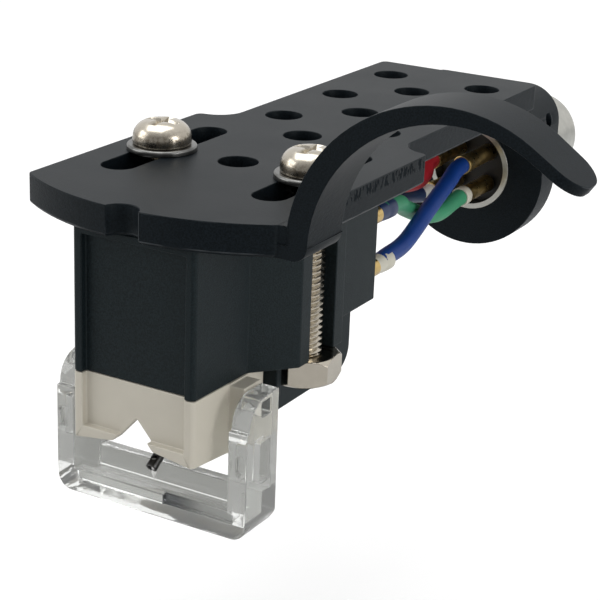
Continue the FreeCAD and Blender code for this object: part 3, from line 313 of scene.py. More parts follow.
# Lighter edge tone of the headshell: partly wear, partly a painted highlight along its lower edges
WORN_AND_HIGHLIT_EDGE = (0.045, 0.050, 0.054)
GROOVE_SHADOW = (0.06, 0.065, 0.075)
# Dark brown of the band low on the screws' heads: real stains and a painted reflection of the dark
# plate
HEAD_STAIN_AND_REFLECTION = (0.12, 0.095, 0.065)
BORE_PAINTED_SHADE = (0.012, 0.012, 0.010)

# Small and hidden pieces, each as a dark and a bright tone or as one tone
CONNECTOR_NICKEL = ((0.34, 0.34, 0.31), (0.52, 0.51, 0.47))
# Copper of the winding: a painted shade tone and a painted highlight tone
COPPER_SHADE_AND_HIGHLIGHT = ((0.28, 0.10, 0.04), (0.72, 0.32, 0.14))
POLISHED_STONE = ((0.62, 0.62, 0.60), (0.9, 0.9, 0.88))
INSULATOR_BLACK = (0.012, 0.012, 0.012)
GASKET_GREY = (0.42, 0.42, 0.38)
SCREW_BLACK = (0.05, 0.05, 0.05)
WASHER_GREY = (0.16, 0.16, 0.155)
SHIELD_GREY = (0.60, 0.58, 0.54)
IRON_GREY = (0.30, 0.29, 0.28)
STYLUS_TUBE_GREY = (0.62, 0.62, 0.60)
DAMPER_BLACK = (0.02, 0.02, 0.02)
ARM_BLACK = (0.07, 0.07, 0.07)
MAGNET_GREY = (0.2, 0.2, 0.2)

# Places that finishes follow, in mm. Corner at the root of the finger lift, without the lighter
# edges of wear and painted highlight
ROOT_SIDE = 9.5
ROOT_BACK = -64.3
# Cut marks on the plate's right side, which fade in between the two lower heights
CUT_SIDE = 9.9
CUT_FRONT = -57.5
CUT_BACK = -42.5
CUT_FADE = (8.6, 8.9)
CUT_TOP = 9.5
# Groove in the front bar of the guard, where a shadow is painted, and where that painted shadow
# grows weaker
GROOVE_LEFT = 1.2
GROOVE_RIGHT = 7.15
GROOVE_LOW = -13.12
GROOVE_TOP = -12.35
GROOVE_BACK = -64.3
GROOVE_FADE = (2.0, 5.0)
# Heights where the dark brown band low on the screws' heads comes and goes: stains and a painted
# reflection of the dark plate
DARK_BAND_START = (9.8, 10.2)
DARK_BAND_END = (10.7, 11.6)
# Bore of the connector tube
BORE_RADIUS = 3.5
# Start of the white lead's sleeve, and the two ends of the clips' crimps, along Y
SLEEVE_START = -20.0
CRIMP_FRONT = -37.7
CRIMP_BACK = -16.8
# Wave of the winding, in radians for each mm of its height
WINDING_WAVE = 50


# Finishes
def coated_casting():
    """Black satin coat over cast alloy: fine grain on the faces, tool marks on the cut sides, and
    lighter lower edges that are partly wear and partly a painted highlight.
    """
    finish = Finish("black_coat", ior=1.5, specular_ior_level=0.10, specular_tint=BLACK_TINT)
    x, y, z = finish.split(finish.spot())
    facing_up = finish.facing()[2]
    mottle = finish.noise(5.0, detail=3)
    grain = finish.noise(0.11)
    tone = grain.ramp(0.3, 0.7) * 0.8 + mottle * 0.2
    plain = finish.tones(colours().casting, tone, 0.5, 1.7)
    low_side = 1 - facing_up.ramp(0.2, 0.5)
    root = x.over(ROOT_SIDE) * y.under(ROOT_BACK)
    # Broken lighter lines on the edges of faces that don't face up: partly wear, partly a painted
    # edge highlight
    worn_and_highlit = finish.rim() * finish.noise(2.5, detail=4).ramp(0.40, 0.66) * low_side * (1 - root)
    upright = 1 - abs(facing_up).ramp(0.3, 0.8)
    marks = upright * finish.noise(0.5, detail=4, rough=0.7, stretch=(1, 1, 2.2))
    side = x.over(CUT_SIDE) * y.between(CUT_FRONT, CUT_BACK) * z.under(CUT_TOP)
    ticks = finish.noise(0.30, stretch=(1, 1, 0.35)).ramp(0.50, 0.56)
    comb = side * z.ramp(*CUT_FADE) * ticks
    finish.set("base_color", finish.mix(worn_and_highlit, plain, WORN_AND_HIGHLIT_EDGE))
    finish.set("roughness", 0.36 + 0.08 * mottle + 0.05 * grain + 0.06 * marks + 0.4 * comb)
    finish.bump(grain * 0.8 + marks * 2.2 - comb * 8, 0.012)
    return finish.material


def body_plastic():
    """Black moulded plastic with a fine matt grain."""
    finish = Finish("black_plastic", ior=1.49, specular_ior_level=0.17, specular_tint=BLACK_TINT)
    grain = finish.noise(0.10)
    finish.set("base_color", finish.tones(colours().moulding, grain.ramp(0.3, 0.7), 0.6, 1.4))
    finish.set("roughness", 0.46 + 0.08 * finish.noise(2.6))
    finish.bump(grain, 0.016)
    return finish.material


def grip_plastic():
    """Warm beige moulded plastic, slightly uneven in tone."""
    finish = Finish("beige_plastic", ior=1.5, specular_ior_level=0.4)
    cloud = finish.noise(2.2, detail=3)
    finish.set("base_color", finish.tones(colours().grip, cloud, 0.94, 1.05))
    finish.set("roughness", 0.42 + 0.10 * cloud)
    finish.bump(finish.noise(0.12) * 0.6 + cloud, 0.006)
    return finish.material


def clear_plastic():
    """Clear moulded plastic with soft flow lines, and painted shadow in the groove of its front
    bar.
    """
    finish = Finish("clear_plastic", transmission_weight=0.90, ior=1.49)
    x, y, z = finish.split(finish.spot())
    groove = (x.between(GROOVE_LEFT, GROOVE_RIGHT) * z.between(GROOVE_LOW, GROOVE_TOP)
              * y.under(GROOVE_BACK))
    # Painted shadow in the groove, weaker towards the right
    shadow = groove * (1 - 0.55 * x.ramp(*GROOVE_FADE))
    flow = finish.noise(2.4)
    finish.set("base_color", finish.mix(shadow, colours().guard, GROOVE_SHADOW))
    finish.set("roughness", 0.02 + 0.04 * flow)
    finish.bump(flow, 0.05)
    return finish.material


def plated(name, colour, rough):
    """Plated metal: bright, with faint stains and fine marks."""
    finish = Finish(name, metallic=1.0)
    stain = finish.stains()
    finish.set("base_color", finish.tones(colour, stain.ramp(0.3, 0.7), 0.7, 1.1))
    finish.set("roughness", rough + 0.1 * stain)
    finish.bump(finish.polish(), 0.004)
    return finish.material


def stained_nickel_with_painted_reflection():
    """Nickel plate of the screws and nuts, with a dark brown band low on the heads: spotty stains
    and a painted reflection of the dark plate below.
    """
    finish = Finish("nickel_plate", metallic=1.0)
    height = finish.split(finish.spot())[2]
    head = height.ramp(*DARK_BAND_START) * (1 - height.ramp(*DARK_BAND_END))
    spots = finish.noise(0.28, detail=4, rough=0.65).ramp(0.42, 0.62)
    cloud = finish.stains()
    plate = finish.tones(colours().nickel, cloud, 0.85, 1.1)
    # Band low on the heads: stains in spots, and a painted reflection of the dark plate all round
    finish.set("base_color", finish.mix(head * (0.3 + 0.5 * spots), plate, HEAD_STAIN_AND_REFLECTION))
    finish.set("roughness", 0.15 + 0.08 * cloud + 0.15 * head * spots)
    finish.bump(finish.polish(), 0.003)
    return finish.material


def tube_plate():
    """Nickel plate of the connector tube, with painted shade as matt black inside its bore."""
    finish = Finish("tube_nickel")
    x, _, z = finish.split(finish.spot())
    outside = ((x * x + z * z) ** 0.5).over(BORE_RADIUS)
    stain = finish.stains()
    plate = finish.mix(stain, *CONNECTOR_NICKEL)
    # Inside the bore the plate is matt black: painted shade
    finish.set("base_color", finish.mix(outside, BORE_PAINTED_SHADE, plate))
    finish.set("metallic", outside)
    finish.set("roughness", 0.6 - 0.3 * outside)
    finish.bump(stain, 0.004)
    return finish.material


def plain_plastic(name, colour, rough):
    """Moulded plastic or rubber with light grain."""
    finish = Finish(name, specular_ior_level=0.4)
    grain = finish.noise(0.25)
    finish.set("base_color", finish.tones(colour, grain, 0.85, 1.15))
    finish.set("roughness", rough - 0.05 + 0.1 * grain)
    finish.bump(grain, 0.006)
    return finish.material


def wound_wire():
    """Enamelled copper wire laid in turns round the pole piece, darker between the turns and
    lighter on them: painted shade and highlight.
    """
    finish = Finish("enamelled_wire", metallic=1.0)
    height = finish.split(finish.spot())[2]
    ridge = 0.5 + 0.5 * (height * WINDING_WAVE).sine()
    # Dark tone between the turns and bright tone on them: painted shade and highlight
    finish.set("base_color", finish.mix(ridge, *COPPER_SHADE_AND_HIGHLIGHT))
    finish.set("roughness", 0.42 - 0.12 * ridge)
    finish.bump(ridge, 0.03)
    return finish.material


def tip_stone():
    """Bright polished stone of the tip."""
    finish = Finish("tip_stone", ior=2.0, coat_weight=1.0)
    cloud = finish.noise(0.2)
    finish.set("base_color", finish.mix(cloud, *POLISHED_STONE))
    finish.set("roughness", 0.08 + 0.05 * cloud)
    return finish.material


def lead_skin(colour):
    """Soft insulation of a lead, slightly shiny."""
    finish = Finish("lead_skin_" + colour, specular_ior_level=0.22)
    cloud = finish.noise(1.5)
    finish.set("base_color", finish.tones(getattr(colours(), colour), cloud, 0.8, 1.15))
    finish.set("roughness", 0.42 + 0.10 * cloud)
    finish.bump(finish.noise(0.15), 0.006)
    return finish.material


def marked_skin():
    """Dark insulation of the white lead, with its white marking sleeve at the connector."""
    finish = Finish("lead_skin_white", specular_ior_level=0.3)
    sleeve = finish.split(finish.spot())[1].over(SLEEVE_START)
    finish.set("base_color", finish.mix(sleeve, colours().navy, colours().white))
    finish.set("roughness", 0.45 - 0.05 * sleeve)
    finish.bump(finish.noise(0.15), 0.006)
    return finish.material


def clip_finish(name, tail):
    """Gold plate of a clip, with a covered crimp at its tail, which faces the other clips."""
    finish = Finish(name)
    crimp = finish.split(finish.spot())[1].between(CRIMP_FRONT, CRIMP_BACK)
    stain = finish.stains()
    plate = finish.tones(colours().gold, stain, 0.75, 1.1)
    finish.set("base_color", finish.mix(crimp, plate, tail))
    finish.set("metallic", 1 - crimp)
    finish.set("roughness", 0.24 + 0.08 * stain + 0.16 * crimp)
    finish.bump(finish.polish(), 0.004)
    return finish.material


# Mesh work, in metres where nothing else is said. Heights closer than this are the same
SAME_LEVEL = 0.01 * MM
MERGE_DISTANCE = 0.002 * MM
FLAT_ANGLE = math.radians(1.0)


def activate(piece):
    """Makes a piece the only one that is selected."""
    bpy.ops.object.select_all(action="DESELECT")
    piece.select_set(True)
    bpy.context.view_layer.objects.active = piece


def leave_edit():
    bpy.ops.object.mode_set(mode="OBJECT")


def choose(piece, kind, wanted):
    """Selects edges or faces by the places of their corners, and stays in edit mode."""
    bpy.ops.object.mode_set(mode="EDIT")
    bpy.ops.mesh.select_mode(type=kind)
    bpy.ops.mesh.select_all(action="DESELECT")
    leave_edit()
    mesh = piece.data
    for part in mesh.edges if kind == "EDGE" else mesh.polygons:
        part.select = wanted([mesh.vertices[index].co for index in part.vertices])
    bpy.ops.object.mode_set(mode="EDIT")


def at_level(height):
    """Test for edges or faces that lie flat at one height."""
    return lambda corners: all(abs(corner.z - height) < SAME_LEVEL for corner in corners)


def choose_all():
    """Selects the whole mesh of the active piece, and stays in edit mode."""
    bpy.ops.object.mode_set(mode="EDIT")
    bpy.ops.mesh.select_all(action="SELECT")


def point_outwards():
    bpy.ops.mesh.select_all(action="SELECT")
    bpy.ops.mesh.normals_make_consistent(inside=False)


def settle(piece):
    """Applies the place and turn of a piece to its mesh."""
    activate(piece)
    bpy.ops.object.transform_apply(location=True, rotation=True, scale=True)


def with_modifier(piece, kind, **settings):
    """Adds a modifier and applies it."""
    activate(piece)
    modifier = piece.modifiers.new(kind.lower(), kind)
    for name, value in settings.items():
        setattr(modifier, name, value)
    bpy.ops.object.modifier_apply(modifier=modifier.name)


def combine(piece, operation, tool):
    """Boolean of a piece with a tool, which goes."""
    with_modifier(piece, "BOOLEAN", operation=operation, solver="EXACT", object=tool)
    bpy.data.objects.remove(tool)


def round_edges(piece, width, segments=3, angle=30):
    """Rounds the sharp edges, and marks their faces in the attribute rim."""
    mesh = piece.data
    while len(mesh.materials) < 2:
        mesh.materials.append(None)
    with_modifier(piece, "BEVEL", width=width, segments=segments, limit_method="ANGLE",
                  angle_limit=math.radians(angle), miter_outer="MITER_ARC",
                  use_clamp_overlap=False, material=1)
    rim = mesh.attributes.get("rim") or mesh.attributes.new("rim", "FLOAT", "FACE")
    for face, mark in zip(mesh.polygons, rim.data):
        mark.value = max(mark.value, float(face.material_index == 1))
        face.material_index = 0


def smooth(piece, angle=35):
    activate(piece)
    bpy.ops.object.shade_smooth_by_angle(angle=math.radians(angle))
    with_modifier(piece, "WEIGHTED_NORMAL", keep_sharp=True, weight=60)


def finish_piece(piece, material, body, node):
    """Gives a finished piece its material in one slot, puts it on its body and hides the node that
    it stands for.
    """
    piece.data.materials.clear()
    piece.data.materials.append(material)
    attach(piece, body)
    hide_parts(node)


def merged_copy(node, name):
    """Merged copy of a solid's mesh. The solid itself stays as it is."""
    piece = bpy.data.objects.new(name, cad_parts[node].data.copy())
    bpy.context.scene.collection.objects.link(piece)
    activate(piece)
    choose_all()
    bpy.ops.mesh.remove_doubles(threshold=MERGE_DISTANCE)
    bpy.ops.mesh.dissolve_limited(angle_limit=FLAT_ANGLE)
    leave_edit()
    return piece


def dress(node, name, width, material, body):
    """Stands a copy of a solid in for it, with rounded edges and a finish."""
    piece = merged_copy(node, name)
    round_edges(piece, width)
    smooth(piece)
    finish_piece(piece, material, body, node)


def coat(node, material):
    """New material for a solid that stays."""
    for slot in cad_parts[node].material_slots:
        slot.material = material


# Finger lift, in mm: the front, back and side of its foot, its end, and the start of its taper
LIFT_FRONT = -65.0
LIFT_BACK = -60.3
LIFT_SIDE = 12.36
LIFT_END = 30.9
TAPER_START = 12.5
# Its tip is narrower by twice this share, ends earlier and hangs lower
TIP_NARROWING = 0.10
TIP_SHORTENING = 0.50
TIP_DROP = 0.12
# Plate beside it, in mm
PLATE_UNDERSIDE = 7.3
PLATE_TOP = 9.6
PLATE_EDGE = 10.25
# The filling of the step reaches into the plate and into the foot, and starts over the underside
FILLING_INWARDS = 0.45
FILLING_OUTWARDS = 0.65
FILLING_START = 1.0
# A cutting tool reaches this far past what it cuts, in mm
OVERCUT = 0.5
ROLLER_LENGTH = 8


def box(low, high):
    """Box between two corners in mm."""
    low, high = Vector(low) * MM, Vector(high) * MM
    bpy.ops.mesh.primitive_cube_add(size=1, location=(low + high) / 2)
    piece = bpy.context.object
    piece.scale = high - low
    settle(piece)
    return piece


def taper_lift(piece):
    """Draws in the rear side and the tip of the finger lift over its last part."""
    front = LIFT_FRONT * MM
    for vertex in piece.data.vertices:
        share = (vertex.co.x / MM - TAPER_START) / (LIFT_END - TAPER_START)
        if share > 0 and vertex.co.y < LIFT_BACK * MM + SAME_LEVEL:
            width = vertex.co.y - front
            vertex.co.y = front + width * (1 - TIP_NARROWING * share - TIP_NARROWING * share ** 3)
            vertex.co.x -= TIP_SHORTENING * MM * share ** 4
            vertex.co.z -= TIP_DROP * MM * share ** 4
    piece.data.update()


def finish_lift_root(piece):
    """Fills the step beside the finger lift, and rounds the lower outer edge of its foot."""
    filling = box((PLATE_EDGE - FILLING_INWARDS, LIFT_FRONT, PLATE_UNDERSIDE + FILLING_START),
                  (PLATE_EDGE + FILLING_OUTWARDS, LIFT_BACK, PLATE_TOP))
    combine(piece, "UNION", filling)
    reach = sizes().lift_rounding / MM
    inner = LIFT_SIDE - reach
    upper = PLATE_UNDERSIDE + reach
    corner = box((inner, LIFT_FRONT - OVERCUT, PLATE_UNDERSIDE - OVERCUT),
                 (LIFT_SIDE + OVERCUT, LIFT_BACK + OVERCUT, upper))
    axis = Vector((inner, (LIFT_FRONT + LIFT_BACK) / 2, upper)) * MM
    bpy.ops.mesh.primitive_cylinder_add(vertices=64, radius=reach * MM, depth=ROLLER_LENGTH * MM,
                                        location=axis, rotation=(math.radians(90), 0, 0))
    roller = bpy.context.object
    settle(roller)
    combine(corner, "DIFFERENCE", roller)
    combine(piece, "DIFFERENCE", corner)


# Screws
SCREW_RADIUS = 1.35 * MM
# The dome is this share of the head's height, and a recess narrows to this share at its floor
HEAD_DOME = 0.72
RECESS_TAPER = 0.45
# The thread's ridge is this share of its pitch, is sunk into the root and has steps in a turn
RIDGE_WIDTH = 0.9
RIDGE_SINK = 0.02 * MM
RIDGE_STEPS = 36
SHANK_CHAMFER = 0.25 * MM
# The shank reaches into the head, and its thread starts over its end
SHANK_IN_HEAD = 0.1 * MM
THREAD_START = 0.2 * MM


def upright_cylinder(centre, low, high, radius, sides):
    """Cylinder between two heights."""
    bpy.ops.mesh.primitive_cylinder_add(vertices=sides, radius=radius, depth=high - low,
                                        location=(centre.x, centre.y, (low + high) / 2))
    piece = bpy.context.object
    settle(piece)
    return piece


def pan_head(centre, seat, top, radius):
    """Domed head with a cross recess."""
    head = upright_cylinder(centre, seat, top, radius, 72)
    choose(head, "EDGE", at_level(top))
    bpy.ops.mesh.bevel(offset=(top - seat) * HEAD_DOME, segments=10, affect="EDGES",
                       clamp_overlap=False)
    choose(head, "EDGE", at_level(seat))
    bpy.ops.mesh.bevel(offset=sizes().metal_edge * 2, segments=3, affect="EDGES")
    leave_edit()
    for turn in (0, 90):
        combine(head, "DIFFERENCE", recess_wing(centre, top, turn))
    return head


def recess_wing(centre, top, turn):
    """Wedge that cuts one wing pair of the cross recess."""
    sheet = sizes()
    floor = top - sheet.recess_depth
    roof = top + sheet.recess_depth / 2
    bpy.ops.mesh.primitive_cube_add(size=1, location=(centre.x, centre.y, (floor + roof) / 2))
    wing = bpy.context.object
    wing.scale = (sheet.recess_reach * 2, sheet.recess_width, roof - floor)
    wing.rotation_euler.z = math.radians(turn)
    settle(wing)
    choose(wing, "FACE", at_level(floor))
    bpy.ops.transform.resize(value=(RECESS_TAPER, RECESS_TAPER, 1),
                             center_override=(centre.x, centre.y, floor))
    leave_edit()
    return wing


def thread(centre, low, high, radius):
    """Ridge of the thread, one closed strip that winds up the shank."""
    sheet = sizes()
    root = radius - sheet.thread_depth - RIDGE_SINK
    pitch = sheet.thread_pitch
    width = pitch * RIDGE_WIDTH
    bpy.ops.mesh.primitive_circle_add(vertices=3, radius=pitch)
    ridge = bpy.context.object
    corners = ((root, 0), (radius, width / 2), (root, width))
    for vertex, (x, z) in zip(ridge.data.vertices, corners):
        vertex.co = (x, 0, z)
    with_modifier(ridge, "SCREW", axis="Z", angle=math.tau, screw_offset=pitch,
                  iterations=int((high - low) / pitch) - 1, steps=RIDGE_STEPS,
                  render_steps=RIDGE_STEPS, use_merge_vertices=False)
    choose_all()
    bpy.ops.mesh.fill_holes(sides=3)
    point_outwards()
    leave_edit()
    ridge.location = (centre.x, centre.y, low)
    settle(ridge)
    return ridge


def shank(centre, low, high, radius):
    """Core of the shank with a chamfered end."""
    core = upright_cylinder(centre, low, high, radius - sizes().thread_depth, 48)
    choose(core, "EDGE", at_level(low))
    bpy.ops.mesh.bevel(offset=SHANK_CHAMFER, segments=2, affect="EDGES")
    leave_edit()
    return core


def join(pieces, name):
    """Joins pieces into the first one, under a new name."""
    bpy.ops.object.select_all(action="DESELECT")
    for piece in pieces:
        piece.select_set(True)
    bpy.context.view_layer.objects.active = pieces[0]
    bpy.ops.object.join()
    pieces[0].name = name
    pieces[0].data.name = name
    return pieces[0]


def mounting_screw(side, material):
    """Pan head screw with a real thread, on top of its washer."""
    node = "mounting_screw_" + side
    low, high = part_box(node)
    centre = (low + high) / 2
    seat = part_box("washer_" + side)[1].z
    head = pan_head(centre, seat, high.z, (high.x - low.x) / 2)
    round_edges(head, sizes().metal_edge * 0.7, segments=2, angle=40)
    core = shank(centre, low.z, seat + SHANK_IN_HEAD, SCREW_RADIUS)
    ridge = thread(centre, low.z + THREAD_START, seat, SCREW_RADIUS)
    piece = join([head, core, ridge], "pan_head_screw_" + side)
    smooth(piece, 38)
    finish_piece(piece, material, HOLDER, node)


# Clips
CLIP_RADIUS = 0.85 * MM
CLIP_SLIT = 0.2 * MM
# Distance from the mouth in mm, and the sleeve's radius there as a share of the full one
CLIP_STATIONS = ((0.0, 1.0), (0.35, 0.93), (0.7, 0.90), (3.9, 0.90), (4.3, 0.96), (4.6, 0.90),
                 (4.8, 1.0), (5.75, 1.02))


def ends_of(node):
    """Middles of the front and rear ends of a clip's solid."""
    low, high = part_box(node)
    centre = (low + high) / 2
    return Vector((centre.x, low.y, centre.z)), Vector((centre.x, high.y, centre.z))


def rolled_clip(name, mouth, tail):
    """Slotted sleeve rolled from sheet, with a flared mouth and a crimped tail.

    mouth and tail are the ends of its axis, which lies along Y.
    """
    gauge = sizes().sheet_gauge
    way = 1 if tail.y > mouth.y else -1
    bpy.ops.mesh.primitive_circle_add(vertices=28, radius=CLIP_RADIUS - gauge / 2, location=mouth,
                                      rotation=(math.radians(90), 0, 0))
    clip = bpy.context.object
    clip.name = name
    clip.data.name = name
    settle(clip)
    choose(clip, "EDGE", lambda ends: all(abs(end.x - mouth.x) < CLIP_SLIT and end.z < mouth.z
                                          for end in ends))
    bpy.ops.mesh.delete(type="EDGE")
    bpy.ops.mesh.select_all(action="SELECT")
    reached, share = CLIP_STATIONS[0]
    for place, size in CLIP_STATIONS[1:]:
        step = (place - reached) * MM * way
        bpy.ops.mesh.extrude_region_move(TRANSFORM_OT_translate={"value": (0, step, 0)})
        factor = size / share
        centre = (mouth.x, mouth.y + place * MM * way, mouth.z)
        bpy.ops.transform.resize(value=(factor, 1, factor), center_override=centre)
        reached, share = place, size
    point_outwards()
    leave_edit()
    with_modifier(clip, "SOLIDIFY", thickness=gauge, offset=0)
    round_edges(clip, gauge * 0.25, segments=2, angle=50)
    smooth(clip, 40)
    return clip


# Leads: points between their ends, as share of the way back, then sideways and upwards in mm
LEAD_ROUTES = {
    "blue": [(0.18, 2.95, -2.15), (0.34, 2.8, -1.25), (0.47, 2.65, -0.4), (0.63, 2.35, 0.3),
             (0.85, 1.75, 0.9)],
    "green": [(0.21, 2.2, 1.5), (0.35, 1.3, 0.35), (0.46, 1.0, -0.45), (0.59, 1.0, -1.4),
              (0.77, 1.35, -2.2)],
    "red": [(0.24, -2.9, 2.1), (0.47, -1.6, 1.3), (0.71, -0.6, 0.6), (0.85, -0.75, 0.9)],
    "white": [(0.21, -3.1, -1.2), (0.41, -2.5, -0.2), (0.65, -1.9, -0.4), (0.80, -1.6, -0.9)],
}
# A lead reaches into its clips, rises a little in the front one and runs straight to the rear one
LEAD_INSIDE = Vector((0, 0.9 * MM, 0))
LEAD_RISE = Vector((0, 0, 0.25 * MM))
LEAD_STRAIGHT = Vector((0, 0.8 * MM, 0))


def lead(colour):
    """One smooth lead from its cartridge clip to its connector clip."""
    start = ends_of("cartridge_clip_" + colour)[1]
    end = ends_of("connector_clip_" + colour)[0]
    points = [start - 2 * LEAD_INSIDE, start - LEAD_INSIDE + LEAD_RISE]
    for share, x, z in LEAD_ROUTES[colour]:
        points.append(Vector((x * MM, start.y + (end.y - start.y) * share, z * MM)))
    points += [end - LEAD_STRAIGHT, end + LEAD_INSIDE]
    curve = bpy.data.curves.new("insulated_lead_" + colour, "CURVE")
    curve.dimensions = "3D"
    spline = curve.splines.new("NURBS")
    spline.points.add(len(points) - 1)
    for point, place in zip(spline.points, points):
        point.co = (*place, 1)
    spline.order_u = 3
    spline.use_endpoint_u = True
    curve.resolution_u = 16
    curve.bevel_depth = sizes().lead_radius
    curve.bevel_resolution = 6
    curve.use_fill_caps = True
    piece = bpy.data.objects.new("insulated_lead_" + colour, curve)
    bpy.context.scene.collection.objects.link(piece)
    skin = marked_skin() if colour == "white" else lead_skin(colour)
    finish_piece(piece, skin, HOLDER, "lead_" + colour)


# Camera
CAMERA_TURN = math.radians(29.604)
CAMERA_RISE = math.radians(20.011)
CAMERA_ROLL = math.radians(2.154)
CAMERA_PLACE = Vector((65.775, -159.602, 44.435)) * MM
CAMERA_LENS = 106.43
CAMERA_SENSOR = 36
CAMERA_CLIP_START = 0.005

# Lamps: name, place, width and power, in metres and watts
LAMPS = (("lamp_over", (-0.10, -0.05, 0.45), 0.45, 1.6),
         ("lamp_left", (-0.45, -0.35, 0.20), 0.35, 1.0),
         ("lamp_right", (0.50, -0.10, 0.10), 0.30, 1.3))
LAMP_TARGET = Vector((0, -0.05, 0))

# World: direction of its lighter side, and how far that way it starts and stops growing lighter
WHITE = (1, 1, 1)
LIGHT_SIDE = Vector((-0.45, 0.90, 0.55))
LIGHT_SPREAD = (-0.75, 0.35)
# Its levels: mirrored and soft, each on the darker side and how much is added on the lighter one
MIRROR_LEVEL = 0.45
MIRROR_GAIN = 0.55
SOFT_LEVEL = 0.42
SOFT_GAIN = 0.12
GUARD_LEVEL = 1.05

# Floor, in metres: its width, how far it is below the object, and where it fades to white
FLOOR_WIDTH = 3
FLOOR_DROP = 11 * MM
FLOOR_FADE = (0.15, 0.40)
# Shiny faces mirror a darker spot in front of the object and a lighter floor behind it
DARK_SPOT = (0.02, -0.165)
DARK_SPREAD = (0.035, 0.085)
BACK_SPREAD = (-0.03, 0.05)
FLOOR_GREY = (0.66, 0.66, 0.66)
FLOOR_PALE = (0.80, 0.81, 0.82)
FLOOR_DARK = (0.06, 0.08, 0.10)
# To the eye the floor is a grey that takes the shadow, with light that makes it white
SHADOW_GREY = (0.35, 0.35, 0.35)
SHADOW_GLOW = 0.72
GUARD_WHITE = (1, 1, 0.97)
GUARD_GLOW = 0.30


def add_camera():
    """Camera at the photograph's place."""
    camera = bpy.data.objects.new("camera", bpy.data.cameras.new("camera"))
    bpy.context.scene.collection.objects.link(camera)
    back = Vector((math.sin(CAMERA_TURN) * math.cos(CAMERA_RISE),
                   -math.cos(CAMERA_TURN) * math.cos(CAMERA_RISE), math.sin(CAMERA_RISE)))
    level = Vector((0, 0, 1)).cross(back).normalized()
    upward = back.cross(level)
    right = math.cos(CAMERA_ROLL) * level + math.sin(CAMERA_ROLL) * upward
    up = math.cos(CAMERA_ROLL) * upward - math.sin(CAMERA_ROLL) * level
    place = Matrix((right, up, back)).transposed().to_4x4()
    place.translation = CAMERA_PLACE
    camera.matrix_world = place
    camera.data.lens = CAMERA_LENS
    camera.data.sensor_width = CAMERA_SENSOR
    camera.data.clip_start = CAMERA_CLIP_START
    bpy.context.scene.camera = camera


def add_lamp(name, place, width, power):
    """Square soft lamp that faces the object."""
    lamp = bpy.data.objects.new(name, bpy.data.lights.new(name, "AREA"))
    bpy.context.scene.collection.objects.link(lamp)
    lamp.location = place
    lamp.rotation_euler = (LAMP_TARGET - Vector(place)).to_track_quat("-Z", "Y").to_euler()
    lamp.data.size = width
    lamp.data.energy = power


def studio_world():
    """White to the eye and through the guard, and greyer as light on the object."""
    world = bpy.data.worlds.new("studio")
    bpy.context.scene.world = world
    tree = Tree(world)
    camera, gloss, depth = tree.light_path("Is Camera Ray", "Is Glossy Ray", "Transmission Depth")
    guard = depth.over(0.5)
    x, y, z = tree.split(tree.place("Generated"))
    lean = y * LIGHT_SIDE.y + x * LIGHT_SIDE.x + z * LIGHT_SIDE.z
    lighter = lean.ramp(*LIGHT_SPREAD)
    open_air = (gloss * (MIRROR_LEVEL + MIRROR_GAIN * lighter)
                + (1 - gloss) * (SOFT_LEVEL + SOFT_GAIN * lighter))
    level = camera + (1 - camera) * (guard * GUARD_LEVEL + (1 - guard) * open_air)
    light = tree.add("ShaderNodeBackground", values={"Color": WHITE, "Strength": level})
    tree.end("ShaderNodeOutputWorld", light.outputs[0])


def floor_paint():
    """Pale floor: white to the eye with the object's shadow, and greyer through the guard."""
    material = bpy.data.materials.new("pale_floor")
    tree = Tree(material)
    camera, gloss, depth = tree.light_path("Is Camera Ray", "Is Glossy Ray", "Transmission Depth")
    x, y, _ = tree.split(tree.place())
    apart = ((x - DARK_SPOT[0]) ** 2 + (y - DARK_SPOT[1]) ** 2) ** 0.5
    dim = gloss * (1 - apart.ramp(*DARK_SPREAD))
    behind = gloss * y.ramp(*BACK_SPREAD)
    tone = tree.mix(dim, tree.mix(behind, FLOOR_GREY, FLOOR_PALE), FLOOR_DARK)
    near = tree.add("ShaderNodeAddShader",
                    values={0: tree.matt(SHADOW_GREY), 1: tree.glow(WHITE, SHADOW_GLOW)})
    distance = (x * x + y * y) ** 0.5
    seen = tree.choice(distance.ramp(*FLOOR_FADE), near.outputs[0], tree.glow(WHITE, 1.0))
    open_air = tree.choice(camera, tree.matt(tone), seen)
    guard = tree.glow(GUARD_WHITE, GUARD_GLOW)
    tree.end("ShaderNodeOutputMaterial", tree.choice(depth.over(0.5), open_air, guard))
    return material


def add_floor():
    level = CAD_BOX[0][2] - FLOOR_DROP
    bpy.ops.mesh.primitive_plane_add(size=FLOOR_WIDTH, location=(0, 0, level))
    floor = bpy.context.object
    floor.name = "studio_floor"
    settle(floor)
    floor.data.materials.append(floor_paint())


# Operators, one for each group of pieces
class CARTRIDGE_OT_stage(bpy.types.Operator):
    """Camera, lamps, world and floor"""
    bl_idname = "cartridge.stage"
    bl_label = "Stage"

    def execute(self, context):
        context.scene.view_settings.view_transform = "Standard"
        add_camera()
        studio_world()
        for lamp in LAMPS:
            add_lamp(*lamp)
        add_floor()
        return {"FINISHED"}


class CARTRIDGE_OT_headshell(bpy.types.Operator):
    """Headshell casting with rounded edges and its coat"""
    bl_idname = "cartridge.headshell"
    bl_label = "Headshell"

    def execute(self, context):
        piece = merged_copy("headshell_frame", "headshell_casting")
        taper_lift(piece)
        finish_lift_root(piece)
        round_edges(piece, sizes().casting_edge)
        smooth(piece)
        finish_piece(piece, coated_casting(), HOLDER, "headshell_frame")
        return {"FINISHED"}


